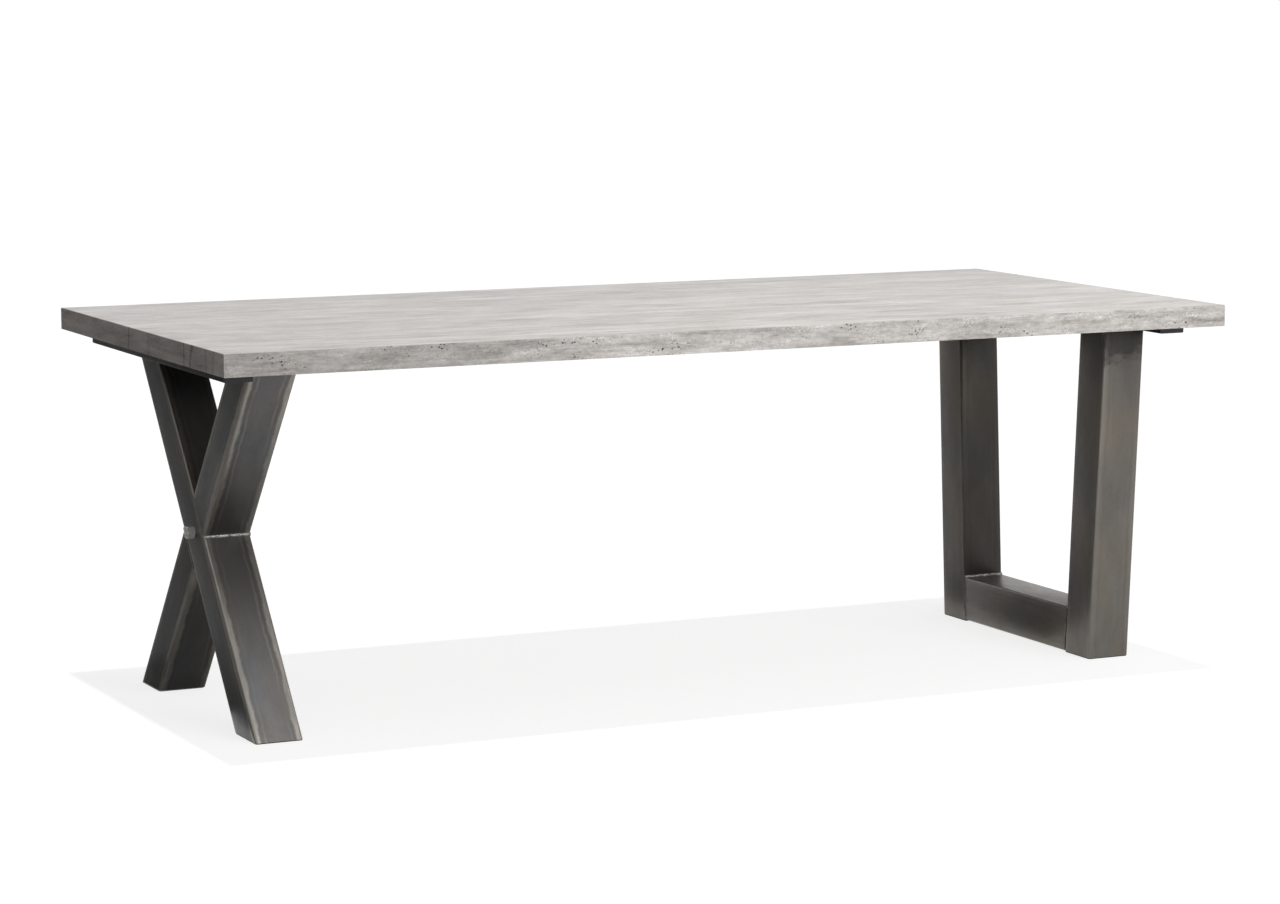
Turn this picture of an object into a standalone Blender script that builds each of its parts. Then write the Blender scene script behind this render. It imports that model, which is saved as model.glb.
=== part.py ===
"""Extending dining table: a slab top on an X-shaped and a U-shaped steel leg.

Under each end of the top a bearer pulls out to carry a loose leaf. Metres, +Z up. X runs along the
table, -Y is its front, and the origin is on the floor under the middle of the top.
"""

import math

import bmesh
import bpy
from mathutils import Vector

# Overall sizes
TOP_LENGTH = 2.200
TOP_WIDTH = 1.000
TOP_THICKNESS = 0.044
TABLE_HEIGHT = 0.768

# Clearances
GAP = 0.0003
SLIDE_CLEARANCE = 0.0005

# Slab top: a board faced on both sides, with a band along each edge
FACE_THICKNESS = 0.0010
BAND_THICKNESS = 0.0020
EDGE_SOFTENING = 0.0004

# Leg tubes. Depth is along X and width is across the tube in the plane of the leg.
LEG_DEPTH = 0.098
LEG_WALL = 0.003
LEG_CORNER = 0.006
X_TUBE_WIDTH = 0.0925
U_TUBE_WIDTH = 0.098
X_LEG_INSET = 0.1075
U_LEG_INSET = 0.0970
X_FOOT_SPREAD = 0.3445
U_FOOT_SPREAD = 0.3047
U_TOP_SPREAD = 0.3475

# Top plates of the legs and their bolts
PLATE_THICKNESS = 0.005
PLATE_LIP = 0.041
BOLT_EDGE = 0.019
BOLT_SPACING = 0.062
BOLT_RADIUS = 0.004
BOLT_LENGTH = 0.030
HEAD_FLATS = 0.013
HEAD_HEIGHT = 0.0050

# Shape of a bolt's or nut's ends: shares of its flats, head height and radius
CROWN_ACROSS = 0.94
CROWN_HEIGHT = 0.86
TIP_ACROSS = 0.80
TIP_HEIGHT = 0.25

# Foot glides
GLIDE_RIM = 0.0015
GLIDE_INSET = 0.0010
GLIDE_PLUG = 0.020

# Weld beads in the creases of the crossing
BEAD_LEG = 0.0060
BEAD_BULGE = 0.0022
BEAD_STEPS = 6

# Bolt through the crossing
CROSS_BOLT_RADIUS = 0.008
CROSS_FLATS = 0.024
CROSS_HEAD_HEIGHT = 0.010
CROSS_NUT_HEIGHT = 0.0148
CROSS_BOLT_RECESS = 0.003

# Pull-out bearers: a cross bar and two runners in channels
BAR_LENGTH = 0.801
BAR_WIDTH = 0.058
BAR_HEIGHT = 0.020
BAR_WALL = 0.002
BAR_CORNER = 0.003
BAR_INSET = 0.035
BAR_DROP = 0.0015
RUNNER_WIDTH = 0.040
RUNNER_HEIGHT = 0.020
RUNNER_WALL = 0.002
RUNNER_CORNER = 0.003
CHANNEL_CLEARANCE = 0.01118
RUNNER_END = 0.150
TRAVEL = 0.500
CHANNEL_END = 0.050
CHANNEL_WALL = 0.002
CHANNEL_LIP = 0.011
SHOE_LENGTH = 0.030
SHOE_OVERHANG = 0.0022
SHOE_CORNER = 0.002
STOP_LENGTH = 0.008
STOP_SLOPE = 0.003
PLUG_FLANGE = 0.003
PLUG_DEPTH = 0.018

# Facets
TUBE_CORNER_STEPS = 4
SMALL_CORNER_STEPS = 2
BOLT_SIDES = 12
CROSS_BOLT_SIDES = 24
SMOOTH_BELOW = math.radians(32)

# Heights and half sizes that the pieces share
UNDERSIDE = TABLE_HEIGHT - TOP_THICKNESS
HALF_LENGTH = TOP_LENGTH / 2
HALF_WIDTH = TOP_WIDTH / 2
X_REACH = math.hypot(UNDERSIDE, 2 * X_FOOT_SPREAD)
X_LEAN = math.atan2(2 * X_FOOT_SPREAD, UNDERSIDE) - math.asin(X_TUBE_WIDTH / X_REACH)
X_TUBE_INSIDE = X_FOOT_SPREAD - X_TUBE_WIDTH / math.cos(X_LEAN)
U_LEAN = math.atan2(U_TOP_SPREAD - U_FOOT_SPREAD, UNDERSIDE)
U_TUBE_INSIDE = U_TOP_SPREAD - U_TUBE_WIDTH / math.cos(U_LEAN)
PLATE_TOP = UNDERSIDE - GAP
PLATE_BOTTOM = PLATE_TOP - PLATE_THICKNESS
LEG_TOP = PLATE_BOTTOM - GAP
LEG_BOTTOM = GLIDE_RIM + GAP
SHOE_WIDTH = RUNNER_WIDTH + 2 * SHOE_OVERHANG
CHANNEL_WIDTH = SHOE_WIDTH + 2 * GAP + 2 * CHANNEL_WALL
CHANNEL_OUTSIDE = min(X_TUBE_INSIDE, U_TUBE_INSIDE) - PLATE_LIP - CHANNEL_CLEARANCE
RUNNER_SPACING = 2 * CHANNEL_OUTSIDE - CHANNEL_WIDTH
CHANNEL_TOP = UNDERSIDE - GAP
RUNNER_TOP = CHANNEL_TOP - CHANNEL_WALL - SLIDE_CLEARANCE
RUNNER_MIDDLE = RUNNER_TOP - RUNNER_HEIGHT / 2
BAR_MIDDLE = UNDERSIDE - BAR_DROP - BAR_HEIGHT / 2
BAR_OUTSIDE = HALF_LENGTH - BAR_INSET
BAR_INSIDE = BAR_OUTSIDE - BAR_WIDTH

ALONG_X = Vector((1, 0, 0))
ALONG_Y = Vector((0, 1, 0))
ALONG_Z = Vector((0, 0, 1))

# Base colour, roughness and metallic value of each finish
FINISHES = {
    "chipboard": ((0.42, 0.30, 0.17), 0.90, 0.0),
    "concrete_decor": ((0.50, 0.48, 0.46), 0.55, 0.0),
    "backing_paper": ((0.36, 0.35, 0.34), 0.70, 0.0),
    "edge_decor": ((0.24, 0.23, 0.22), 0.55, 0.0),
    "raw_steel": ((0.17, 0.16, 0.15), 0.38, 0.9),
    "weld_steel": ((0.33, 0.32, 0.31), 0.42, 0.9),
    "plate_steel": ((0.06, 0.06, 0.06), 0.50, 0.6),
    "zinc": ((0.55, 0.55, 0.54), 0.35, 0.9),
    "black_paint": ((0.012, 0.012, 0.013), 0.45, 0.2),
    "black_plastic": ((0.015, 0.015, 0.016), 0.60, 0.0),
    "nylon": ((0.62, 0.61, 0.56), 0.50, 0.0),
}


def clear_scene():
    for obj in list(bpy.data.objects):
        bpy.data.objects.remove(obj, do_unlink=True)


def finish_material(piece, finish):
    colour, roughness, metallic = FINISHES[finish]
    material = bpy.data.materials.new(f"{piece}_{finish}")
    material.use_nodes = True
    shader = material.node_tree.nodes["Principled BSDF"]
    shader.inputs["Base Color"].default_value = (*colour, 1.0)
    shader.inputs["Roughness"].default_value = roughness
    shader.inputs["Metallic"].default_value = metallic
    return material


def rounded_rectangle(width, height, radius, steps):
    """Outline points, anticlockwise, of a rectangle with round corners about its middle."""
    corners = ((1, 1), (-1, 1), (-1, -1), (1, -1))
    points = []
    for quarter, (side, rise) in enumerate(corners):
        for step in range(steps + 1):
            turn = math.radians(90 * (quarter + step / steps))
            across = side * (width / 2 - radius) + radius * math.cos(turn)
            up = rise * (height / 2 - radius) + radius * math.sin(turn)
            points.append((across, up))
    return points


def regular_outline(apothem, sides, count):
    """Outline of a regular polygon, or of a circle where sides is count, as count points."""
    points = []
    for step in range(count):
        turn = 2 * math.pi * step / count
        off_middle = turn % (2 * math.pi / sides) - math.pi / sides
        radius = apothem / math.cos(off_middle) if sides < count else apothem
        points.append((radius * math.cos(turn), radius * math.sin(turn)))
    return points


def placed(outline, middle, across, up):
    """The outline's points in space, about middle and along the two directions."""
    return [middle + across * point[0] + up * point[1] for point in outline]


def carried_to(points, along, plane_point, plane_normal):
    """The points moved along one direction until each lies in the plane."""
    slope = along.dot(plane_normal)
    return [p + along * ((plane_point - p).dot(plane_normal) / slope) for p in points]


def ring_mesh(name, rings, hollow):
    """A closed mesh through rings of as many points each. A hollow one joins the last to the first."""
    shape = bmesh.new()
    loops = [[shape.verts.new(point) for point in ring] for ring in rings]
    following = loops[1:] + loops[:1] if hollow else loops[1:]
    for loop, after in zip(loops, following):
        for index in range(len(loop)):
            beside = (index + 1) % len(loop)
            shape.faces.new((loop[index], loop[beside], after[beside], after[index]))
    if not hollow:
        shape.faces.new(reversed(loops[0]))
        shape.faces.new(loops[-1])
    bmesh.ops.recalc_face_normals(shape, faces=shape.faces)
    mesh = bpy.data.meshes.new(name)
    shape.to_mesh(mesh)
    shape.free()
    return mesh


def add_piece(name, mesh, finish, holder=None):
    """An object for the mesh, whose points are in world space. A holder carries a moving piece."""
    piece = bpy.data.objects.new(name, mesh)
    bpy.context.scene.collection.objects.link(piece)
    if holder:
        piece.parent = holder
        piece.location = -holder.location
    mesh.shade_smooth()
    mesh.set_sharp_from_angle(angle=SMOOTH_BELOW)
    mesh.materials.append(finish_material(name, finish))
    return piece


def add_slide_empty(name, location):
    holder = bpy.data.objects.new(name, None)
    holder.empty_display_size = 0.1
    holder.location = location
    bpy.context.scene.collection.objects.link(holder)
    return holder


def tube_rings(middle, across, up, along, section, ends):
    """Rings of a hollow tube whose section is (width, height, wall, corner) and whose ends lie in
    two planes, each a point and a normal."""
    width, height, wall, corner = section
    outer = rounded_rectangle(width, height, corner, TUBE_CORNER_STEPS)
    inner = rounded_rectangle(width - 2 * wall, height - 2 * wall, corner - wall, TUBE_CORNER_STEPS)
    outside = placed(outer, middle, across, up)
    inside = placed(inner, middle, across, up)
    start, end = ends
    return [
        carried_to(outside, along, *start),
        carried_to(outside, along, *end),
        carried_to(inside, along, *end),
        carried_to(inside, along, *start),
    ]


def add_box(name, low, high, finish, softening=0.0):
    """A block between two corners, with its edges softened by a small bevel."""
    shape = bmesh.new()
    bmesh.ops.create_cube(shape, size=1)
    size = Vector(high) - Vector(low)
    bmesh.ops.scale(shape, vec=size, verts=shape.verts)
    bmesh.ops.translate(shape, vec=(Vector(high) + Vector(low)) / 2, verts=shape.verts)
    mesh = bpy.data.meshes.new(name)
    shape.to_mesh(mesh)
    shape.free()
    piece = add_piece(name, mesh, finish)
    if softening:
        bevel = piece.modifiers.new("softened_edges", "BEVEL")
        bevel.width = softening
        bevel.segments = 1
    return piece


def hide_cutter(cutter):
    cutter.hide_render = True
    cutter.display_type = "WIRE"


def cut(piece, cutter):
    boolean = piece.modifiers.new(f"{cutter.name}_cut", "BOOLEAN")
    boolean.operation = "DIFFERENCE"
    boolean.object = cutter


def hex_bolt_mesh(name, middle, along, flats, head_height, radius, length, sides):
    """A hexagon-head bolt. Middle is under the head, and the shank runs the given way from it."""
    across = ALONG_Y if abs(along.x) > abs(along.z) else ALONG_X
    up = along.cross(across)
    head = regular_outline(flats / 2, 6, sides)
    crown = regular_outline(flats / 2 * CROWN_ACROSS, sides, sides)
    shank = regular_outline(radius, sides, sides)
    tip = regular_outline(radius * TIP_ACROSS, sides, sides)
    stations = (
        (crown, -head_height),
        (head, -head_height * CROWN_HEIGHT),
        (head, 0),
        (shank, 0),
        (shank, length - radius * TIP_HEIGHT),
        (tip, length),
    )
    rings = [placed(outline, middle + along * at, across, up) for outline, at in stations]
    return ring_mesh(name, rings, hollow=False)


def build_top(bolt_holes):
    """The board, its two faces and its four edge bands."""
    band = BAND_THICKNESS + GAP
    board_x = HALF_LENGTH - band
    board_y = HALF_WIDTH - band
    face = FACE_THICKNESS
    top_low = TABLE_HEIGHT - face
    core_low = UNDERSIDE + face + GAP
    add_box("top_laminate", (-board_x, -board_y, top_low), (board_x, board_y, TABLE_HEIGHT), "concrete_decor")
    core = add_box("top_core", (-board_x, -board_y, core_low), (board_x, board_y, top_low - GAP), "chipboard")
    backing = add_box(
        "top_backing", (-board_x, -board_y, UNDERSIDE), (board_x, board_y, UNDERSIDE + face), "backing_paper"
    )
    cut(core, bolt_holes)
    cut(backing, bolt_holes)
    for name, side in (("front", -1), ("back", 1)):
        near = side * (HALF_WIDTH - BAND_THICKNESS)
        far = side * HALF_WIDTH
        low = (-HALF_LENGTH, min(near, far), UNDERSIDE)
        high = (HALF_LENGTH, max(near, far), TABLE_HEIGHT)
        add_box(f"edge_band_{name}", low, high, "edge_decor", EDGE_SOFTENING)
    for name, side in (("left", -1), ("right", 1)):
        near = side * (HALF_LENGTH - BAND_THICKNESS)
        far = side * HALF_LENGTH
        low = (min(near, far), -board_y, UNDERSIDE)
        high = (max(near, far), board_y, TABLE_HEIGHT)
        add_box(f"edge_band_{name}", low, high, "edge_decor", EDGE_SOFTENING)


def leg_section(width):
    return (LEG_DEPTH, width, LEG_WALL, LEG_CORNER)


def floor_plane():
    return Vector((0, 0, LEG_BOTTOM)), ALONG_Z


def plate_plane():
    return Vector((0, 0, LEG_TOP)), ALONG_Z


def add_glide(name, middle, along, across, width):
    """A plastic glide: a thin rim under the tube and a plug up inside it."""
    rim = rounded_rectangle(
        LEG_DEPTH - 2 * GLIDE_INSET, width - 2 * GLIDE_INSET, LEG_CORNER - GLIDE_INSET, TUBE_CORNER_STEPS
    )
    bore = LEG_WALL + GAP
    plug = rounded_rectangle(LEG_DEPTH - 2 * bore, width - 2 * bore, LEG_CORNER - bore, TUBE_CORNER_STEPS)
    stations = ((rim, 0), (rim, GLIDE_RIM), (plug, GLIDE_RIM), (plug, GLIDE_RIM + GLIDE_PLUG))
    rings = []
    for outline, height in stations:
        points = placed(outline, middle, ALONG_X, across)
        rings.append(carried_to(points, along, Vector((0, 0, height)), ALONG_Z))
    add_piece(name, ring_mesh(name, rings, hollow=False), "black_plastic")


def add_leg_plate(name, leg_x, side, inner, outer, bolt_holes):
    """A plate on top of one tube, between two distances from the middle, with four bolts."""
    low_y = min(side * inner, side * outer)
    high_y = max(side * inner, side * outer)
    half = LEG_DEPTH / 2
    low = (leg_x - half, low_y, PLATE_BOTTOM)
    high = (leg_x + half, high_y, PLATE_TOP)
    plate = add_box(f"{name}_plate", low, high, "plate_steel", EDGE_SOFTENING)
    cut(plate, bolt_holes)
    for index, (bolt_x, bolt_y) in enumerate(plate_bolts(leg_x, side, inner, outer), start=1):
        bolt = f"{name}_bolt_{index}"
        under_head = Vector((bolt_x, bolt_y, PLATE_BOTTOM - GAP))
        mesh = hex_bolt_mesh(
            bolt, under_head, ALONG_Z, HEAD_FLATS, HEAD_HEIGHT, BOLT_RADIUS, BOLT_LENGTH, BOLT_SIDES
        )
        add_piece(bolt, mesh, "zinc")


def plate_bolts(leg_x, side, inner, outer):
    """Places of a plate's four bolts: a pair on each side of the tube."""
    rows = (inner + BOLT_EDGE, outer - BOLT_EDGE)
    return [(leg_x + part * BOLT_SPACING / 2, side * row) for row in rows for part in (-1, 1)]


def leg_layout():
    """Each leg's name, its place along X, and how far its tube tops lie from the middle."""
    x_leg_x = -HALF_LENGTH + X_LEG_INSET + LEG_DEPTH / 2
    u_leg_x = HALF_LENGTH - U_LEG_INSET - LEG_DEPTH / 2
    return {
        "x_leg": (x_leg_x, X_TUBE_INSIDE, X_FOOT_SPREAD),
        "u_leg": (u_leg_x, U_TUBE_INSIDE, U_TOP_SPREAD),
    }


def build_bolt_holes(layout):
    """One hidden cutter that holds the hole of every bolt of the legs' plates."""
    shape = bmesh.new()
    low = PLATE_BOTTOM - PLATE_THICKNESS
    high = PLATE_BOTTOM + BOLT_LENGTH + GAP
    for leg_x, inner, outer in layout.values():
        for side in (-1, 1):
            for bolt_x, bolt_y in plate_bolts(leg_x, side, inner - PLATE_LIP, outer + PLATE_LIP):
                made = bmesh.ops.create_cone(
                    shape,
                    cap_ends=True,
                    segments=BOLT_SIDES,
                    radius1=BOLT_RADIUS + 2 * GAP,
                    radius2=BOLT_RADIUS + 2 * GAP,
                    depth=high - low,
                )
                place = Vector((bolt_x, bolt_y, (low + high) / 2))
                bmesh.ops.translate(shape, vec=place, verts=made["verts"])
    mesh = bpy.data.meshes.new("bolt_holes")
    shape.to_mesh(mesh)
    shape.free()
    cutter = bpy.data.objects.new("bolt_holes", mesh)
    bpy.context.scene.collection.objects.link(cutter)
    hide_cutter(cutter)
    return cutter


def add_crease_bead(name, leg_x, side, waist):
    """A weld bead in the crease at one side of the crossing, bulging outwards between the faces."""
    out = ALONG_Y * side
    upper = out * math.sin(X_LEAN) + ALONG_Z * math.cos(X_LEAN)
    lower = out * math.sin(X_LEAN) - ALONG_Z * math.cos(X_LEAN)
    middle = Vector((leg_x, side * waist, UNDERSIDE / 2))
    root = middle + out * (GAP / math.cos(X_LEAN))
    top = root + upper * BEAD_LEG
    bottom = root + lower * BEAD_LEG
    outline = [root, top]
    for step in range(1, BEAD_STEPS):
        part = step / BEAD_STEPS
        bulge = out * (BEAD_BULGE * math.sin(math.pi * part))
        outline.append(top.lerp(bottom, part) + bulge)
    outline.append(bottom)
    half = LEG_DEPTH / 2 - EDGE_SOFTENING
    rings = [[point + ALONG_X * end for point in outline] for end in (-half, half)]
    add_piece(name, ring_mesh(name, rings, hollow=False), "weld_steel")


def build_x_leg(layout, bolt_holes):
    """A tube through the crossing, two half tubes against its sides, beads, bolt, plates, glides."""
    leg_x, inner, outer = layout["x_leg"]
    section = leg_section(X_TUBE_WIDTH)
    waist = X_TUBE_WIDTH / math.cos(X_LEAN) / 2
    middle = Vector((leg_x, 0, UNDERSIDE / 2))
    through_along = Vector((0, math.sin(X_LEAN), math.cos(X_LEAN)))
    through_across = ALONG_X.cross(through_along)
    half_along = Vector((0, -math.sin(X_LEAN), math.cos(X_LEAN)))
    half_across = ALONG_X.cross(half_along)
    ends = (floor_plane(), plate_plane())
    rings = tube_rings(middle, ALONG_X, through_across, through_along, section, ends)
    through = add_piece("x_leg_through_tube", ring_mesh("x_leg_through_tube", rings, True), "raw_steel")
    side_reach = X_TUBE_WIDTH / 2 + GAP
    for name, sign, end in (("upper", 1, plate_plane()), ("lower", -1, floor_plane())):
        normal = through_across if through_across.z * sign > 0 else -through_across
        against = (middle + normal * side_reach, normal)
        rings = tube_rings(middle, ALONG_X, half_across, half_along, section, (against, end))
        node = f"x_leg_{name}_tube"
        add_piece(node, ring_mesh(node, rings, True), "raw_steel")
    for name, side in (("front", -1), ("back", 1)):
        add_crease_bead(f"x_leg_weld_{name}", leg_x, side, waist)
        add_leg_plate(f"x_leg_{name}", leg_x, side, inner - PLATE_LIP, outer + PLATE_LIP, bolt_holes)
        along, across = (through_along, through_across) if side < 0 else (half_along, half_across)
        add_glide(f"x_leg_{name}_glide", middle, along, across, X_TUBE_WIDTH)
    add_crossing_bolt(through, middle)


def add_crossing_bolt(through, middle):
    """The bolt through the crossing, with its head inside the table and its nut on the outer face."""
    face = LEG_DEPTH / 2 + GAP
    under_head = middle + ALONG_X * face
    length = 2 * face + CROSS_NUT_HEIGHT - CROSS_BOLT_RECESS
    mesh = hex_bolt_mesh(
        "crossing_bolt",
        under_head,
        -ALONG_X,
        CROSS_FLATS,
        CROSS_HEAD_HEIGHT,
        CROSS_BOLT_RADIUS,
        length,
        CROSS_BOLT_SIDES,
    )
    add_piece("crossing_bolt", mesh, "zinc")
    bore = regular_outline(CROSS_BOLT_RADIUS + GAP, CROSS_BOLT_SIDES, CROSS_BOLT_SIDES)
    flats = regular_outline(CROSS_FLATS / 2, 6, CROSS_BOLT_SIDES)
    crown = regular_outline(CROSS_FLATS / 2 * CROWN_ACROSS, CROSS_BOLT_SIDES, CROSS_BOLT_SIDES)
    stations = (
        (flats, face),
        (flats, face + CROSS_NUT_HEIGHT * CROWN_HEIGHT),
        (crown, face + CROSS_NUT_HEIGHT),
        (bore, face + CROSS_NUT_HEIGHT),
        (bore, face),
    )
    rings = [placed(outline, middle - ALONG_X * at, ALONG_Y, ALONG_Z) for outline, at in stations]
    add_piece("crossing_nut", ring_mesh("crossing_nut", rings, True), "zinc")
    reach = LEG_DEPTH
    rings = [placed(bore, middle + ALONG_X * at, ALONG_Y, ALONG_Z) for at in (-reach, reach)]
    cutter = bpy.data.objects.new("crossing_bore", ring_mesh("crossing_bore", rings, False))
    bpy.context.scene.collection.objects.link(cutter)
    hide_cutter(cutter)
    cut(through, cutter)


def build_u_leg(layout, bolt_holes):
    """Two tubes that splay outwards to the top, and a beam between their feet."""
    leg_x, inner, outer = layout["u_leg"]
    section = leg_section(U_TUBE_WIDTH)
    beam_ends = []
    for name, side in (("front", -1), ("back", 1)):
        along = Vector((0, side * math.sin(U_LEAN), math.cos(U_LEAN)))
        across = ALONG_X.cross(along)
        floor_middle = U_FOOT_SPREAD - U_TUBE_WIDTH / math.cos(U_LEAN) / 2
        middle = Vector((leg_x, side * floor_middle, 0))
        rings = tube_rings(middle, ALONG_X, across, along, section, (floor_plane(), plate_plane()))
        node = f"u_leg_{name}_tube"
        add_piece(node, ring_mesh(node, rings, True), "raw_steel")
        inward = across if across.y * side < 0 else -across
        beam_ends.append((middle + inward * (U_TUBE_WIDTH / 2 + GAP), inward))
        add_leg_plate(f"u_leg_{name}", leg_x, side, inner - PLATE_LIP, outer + PLATE_LIP, bolt_holes)
        add_glide(f"u_leg_{name}_glide", middle, along, across, U_TUBE_WIDTH)
    beam_middle = Vector((leg_x, 0, LEG_BOTTOM + U_TUBE_WIDTH / 2))
    rings = tube_rings(beam_middle, ALONG_X, ALONG_Z, ALONG_Y, section, beam_ends)
    add_piece("u_leg_beam", ring_mesh("u_leg_beam", rings, True), "raw_steel")


def channel_outline(pinch):
    """Section of a runner's channel: a web on top, two sides and two lips, pinched in at its sides.
    The points are across and up from the middle of the channel's top."""
    outer = CHANNEL_WIDTH / 2 - pinch
    inner = outer - CHANNEL_WALL
    depth = CHANNEL_WALL + RUNNER_HEIGHT + 2 * SLIDE_CLEARANCE
    mouth = outer + pinch - CHANNEL_WALL - CHANNEL_LIP
    half = [
        (outer, 0),
        (outer, -depth - CHANNEL_WALL),
        (mouth, -depth - CHANNEL_WALL),
        (mouth, -depth),
        (inner, -depth),
        (inner, -CHANNEL_WALL),
    ]
    return half + [(-across, up) for across, up in reversed(half)]


def add_channel(name, side, across):
    """One channel under the top, with a pressed stop where the runner's shoe meets it."""
    stop = RUNNER_END + SHOE_LENGTH + TRAVEL + GAP
    plain = channel_outline(0)
    pinched = channel_outline(SHOE_OVERHANG)
    stations = (
        (plain, CHANNEL_END),
        (plain, stop - GAP),
        (pinched, stop),
        (pinched, stop + STOP_LENGTH),
        (plain, stop + STOP_LENGTH + STOP_SLOPE),
        (plain, BAR_INSIDE - GAP),
    )
    middle = Vector((0, across, CHANNEL_TOP))
    rings = [placed(outline, middle + ALONG_X * side * at, ALONG_Y, ALONG_Z) for outline, at in stations]
    add_piece(name, ring_mesh(name, rings, False), "black_paint")


def add_runner(name, side, across, holder):
    """A runner tube from the cross bar inwards, with a nylon shoe in its inner end."""
    middle = Vector((0, across, RUNNER_MIDDLE))
    section = (RUNNER_WIDTH, RUNNER_HEIGHT, RUNNER_WALL, RUNNER_CORNER)
    inner_end = RUNNER_END + SHOE_LENGTH
    ends = ((ALONG_X * side * inner_end, ALONG_X), (ALONG_X * side * (BAR_INSIDE - GAP), ALONG_X))
    rings = tube_rings(middle, ALONG_Y, ALONG_Z, ALONG_X, section, ends)
    add_piece(name, ring_mesh(name, rings, True), "black_paint", holder)
    shoe = rounded_rectangle(SHOE_WIDTH, RUNNER_HEIGHT, SHOE_CORNER, SMALL_CORNER_STEPS)
    bore = RUNNER_WALL + GAP
    plug = rounded_rectangle(
        RUNNER_WIDTH - 2 * bore, RUNNER_HEIGHT - 2 * bore, RUNNER_CORNER - bore, SMALL_CORNER_STEPS
    )
    shoe_face = inner_end - GAP
    stations = ((shoe, RUNNER_END), (shoe, shoe_face), (plug, shoe_face), (plug, inner_end + PLUG_DEPTH))
    rings = [placed(outline, middle + ALONG_X * side * at, ALONG_Y, ALONG_Z) for outline, at in stations]
    add_piece(f"{name}_shoe", ring_mesh(f"{name}_shoe", rings, False), "nylon", holder)


def add_cross_bar(name, side, holder):
    """The bar across a bearer's outer end, with a plug in each of its ends."""
    middle = Vector((side * (BAR_INSIDE + BAR_WIDTH / 2), 0, BAR_MIDDLE))
    section = (BAR_WIDTH, BAR_HEIGHT, BAR_WALL, BAR_CORNER)
    end = BAR_LENGTH / 2 - PLUG_FLANGE - GAP
    ends = ((ALONG_Y * -end, ALONG_Y), (ALONG_Y * end, ALONG_Y))
    rings = tube_rings(middle, ALONG_X, ALONG_Z, ALONG_Y, section, ends)
    add_piece(f"{name}_bar", ring_mesh(f"{name}_bar", rings, True), "black_paint", holder)
    flange = rounded_rectangle(BAR_WIDTH, BAR_HEIGHT, BAR_CORNER, SMALL_CORNER_STEPS)
    bore = BAR_WALL + GAP
    plug = rounded_rectangle(
        BAR_WIDTH - 2 * bore, BAR_HEIGHT - 2 * bore, BAR_CORNER - bore, SMALL_CORNER_STEPS
    )
    flange_face = BAR_LENGTH / 2 - PLUG_FLANGE
    stations = (
        (flange, BAR_LENGTH / 2),
        (flange, flange_face),
        (plug, flange_face),
        (plug, flange_face - PLUG_DEPTH),
    )
    for place, end_side in (("front", -1), ("back", 1)):
        node = f"{name}_plug_{place}"
        rings = [
            placed(outline, middle + ALONG_Y * end_side * at, ALONG_X, ALONG_Z) for outline, at in stations
        ]
        add_piece(node, ring_mesh(node, rings, False), "black_plastic", holder)


def build_bearers():
    """The left and right bearers, each on an empty at its cross bar, and the channels they run in."""
    for name, side in (("left", -1), ("right", 1)):
        holder = add_slide_empty(f"{name}_slide", Vector((side * BAR_OUTSIDE, 0, BAR_MIDDLE)))
        add_cross_bar(f"{name}_bearer", side, holder)
        for place, row in (("front", -1), ("back", 1)):
            across = row * RUNNER_SPACING / 2
            add_runner(f"{name}_runner_{place}", side, across, holder)
            add_channel(f"{name}_channel_{place}", side, across)


def build_table():
    clear_scene()
    layout = leg_layout()
    bolt_holes = build_bolt_holes(layout)
    build_top(bolt_holes)
    build_x_leg(layout, bolt_holes)
    build_u_leg(layout, bolt_holes)
    build_bearers()


build_table()
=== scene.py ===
import math

import bmesh
import bpy
from bpy.props import FloatProperty, FloatVectorProperty, IntProperty, PointerProperty
from mathutils import Euler, Matrix, Vector


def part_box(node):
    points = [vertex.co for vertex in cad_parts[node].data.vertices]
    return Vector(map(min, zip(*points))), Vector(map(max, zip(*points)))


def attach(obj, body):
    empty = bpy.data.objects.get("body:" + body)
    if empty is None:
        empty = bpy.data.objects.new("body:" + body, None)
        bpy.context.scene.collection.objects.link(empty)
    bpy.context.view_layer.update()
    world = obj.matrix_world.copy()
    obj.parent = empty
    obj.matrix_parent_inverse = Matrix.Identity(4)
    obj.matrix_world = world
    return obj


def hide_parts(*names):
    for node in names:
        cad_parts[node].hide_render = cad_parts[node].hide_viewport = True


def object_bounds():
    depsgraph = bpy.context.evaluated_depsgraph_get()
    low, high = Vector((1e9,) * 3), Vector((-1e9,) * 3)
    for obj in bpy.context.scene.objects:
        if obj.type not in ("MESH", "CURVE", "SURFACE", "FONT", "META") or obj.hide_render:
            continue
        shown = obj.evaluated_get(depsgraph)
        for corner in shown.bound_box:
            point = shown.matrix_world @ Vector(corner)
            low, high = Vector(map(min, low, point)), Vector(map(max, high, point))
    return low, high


bl_info = {
    "name": "Extending Dining Table",
    "version": (1, 0, 0),
    "blender": (4, 5, 0),
    "location": "3D View > Sidebar > Table",
    "description": "Models and finishes a slab table on an X-shaped and a U-shaped steel leg",
    "category": "Add Mesh",
}

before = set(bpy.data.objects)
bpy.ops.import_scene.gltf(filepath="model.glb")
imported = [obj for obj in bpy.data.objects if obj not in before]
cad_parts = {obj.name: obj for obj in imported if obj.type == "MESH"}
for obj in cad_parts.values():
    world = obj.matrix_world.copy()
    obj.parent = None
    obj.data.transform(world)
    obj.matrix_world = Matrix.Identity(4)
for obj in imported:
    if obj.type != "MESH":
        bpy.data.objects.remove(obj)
CAD_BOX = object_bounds()

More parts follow.
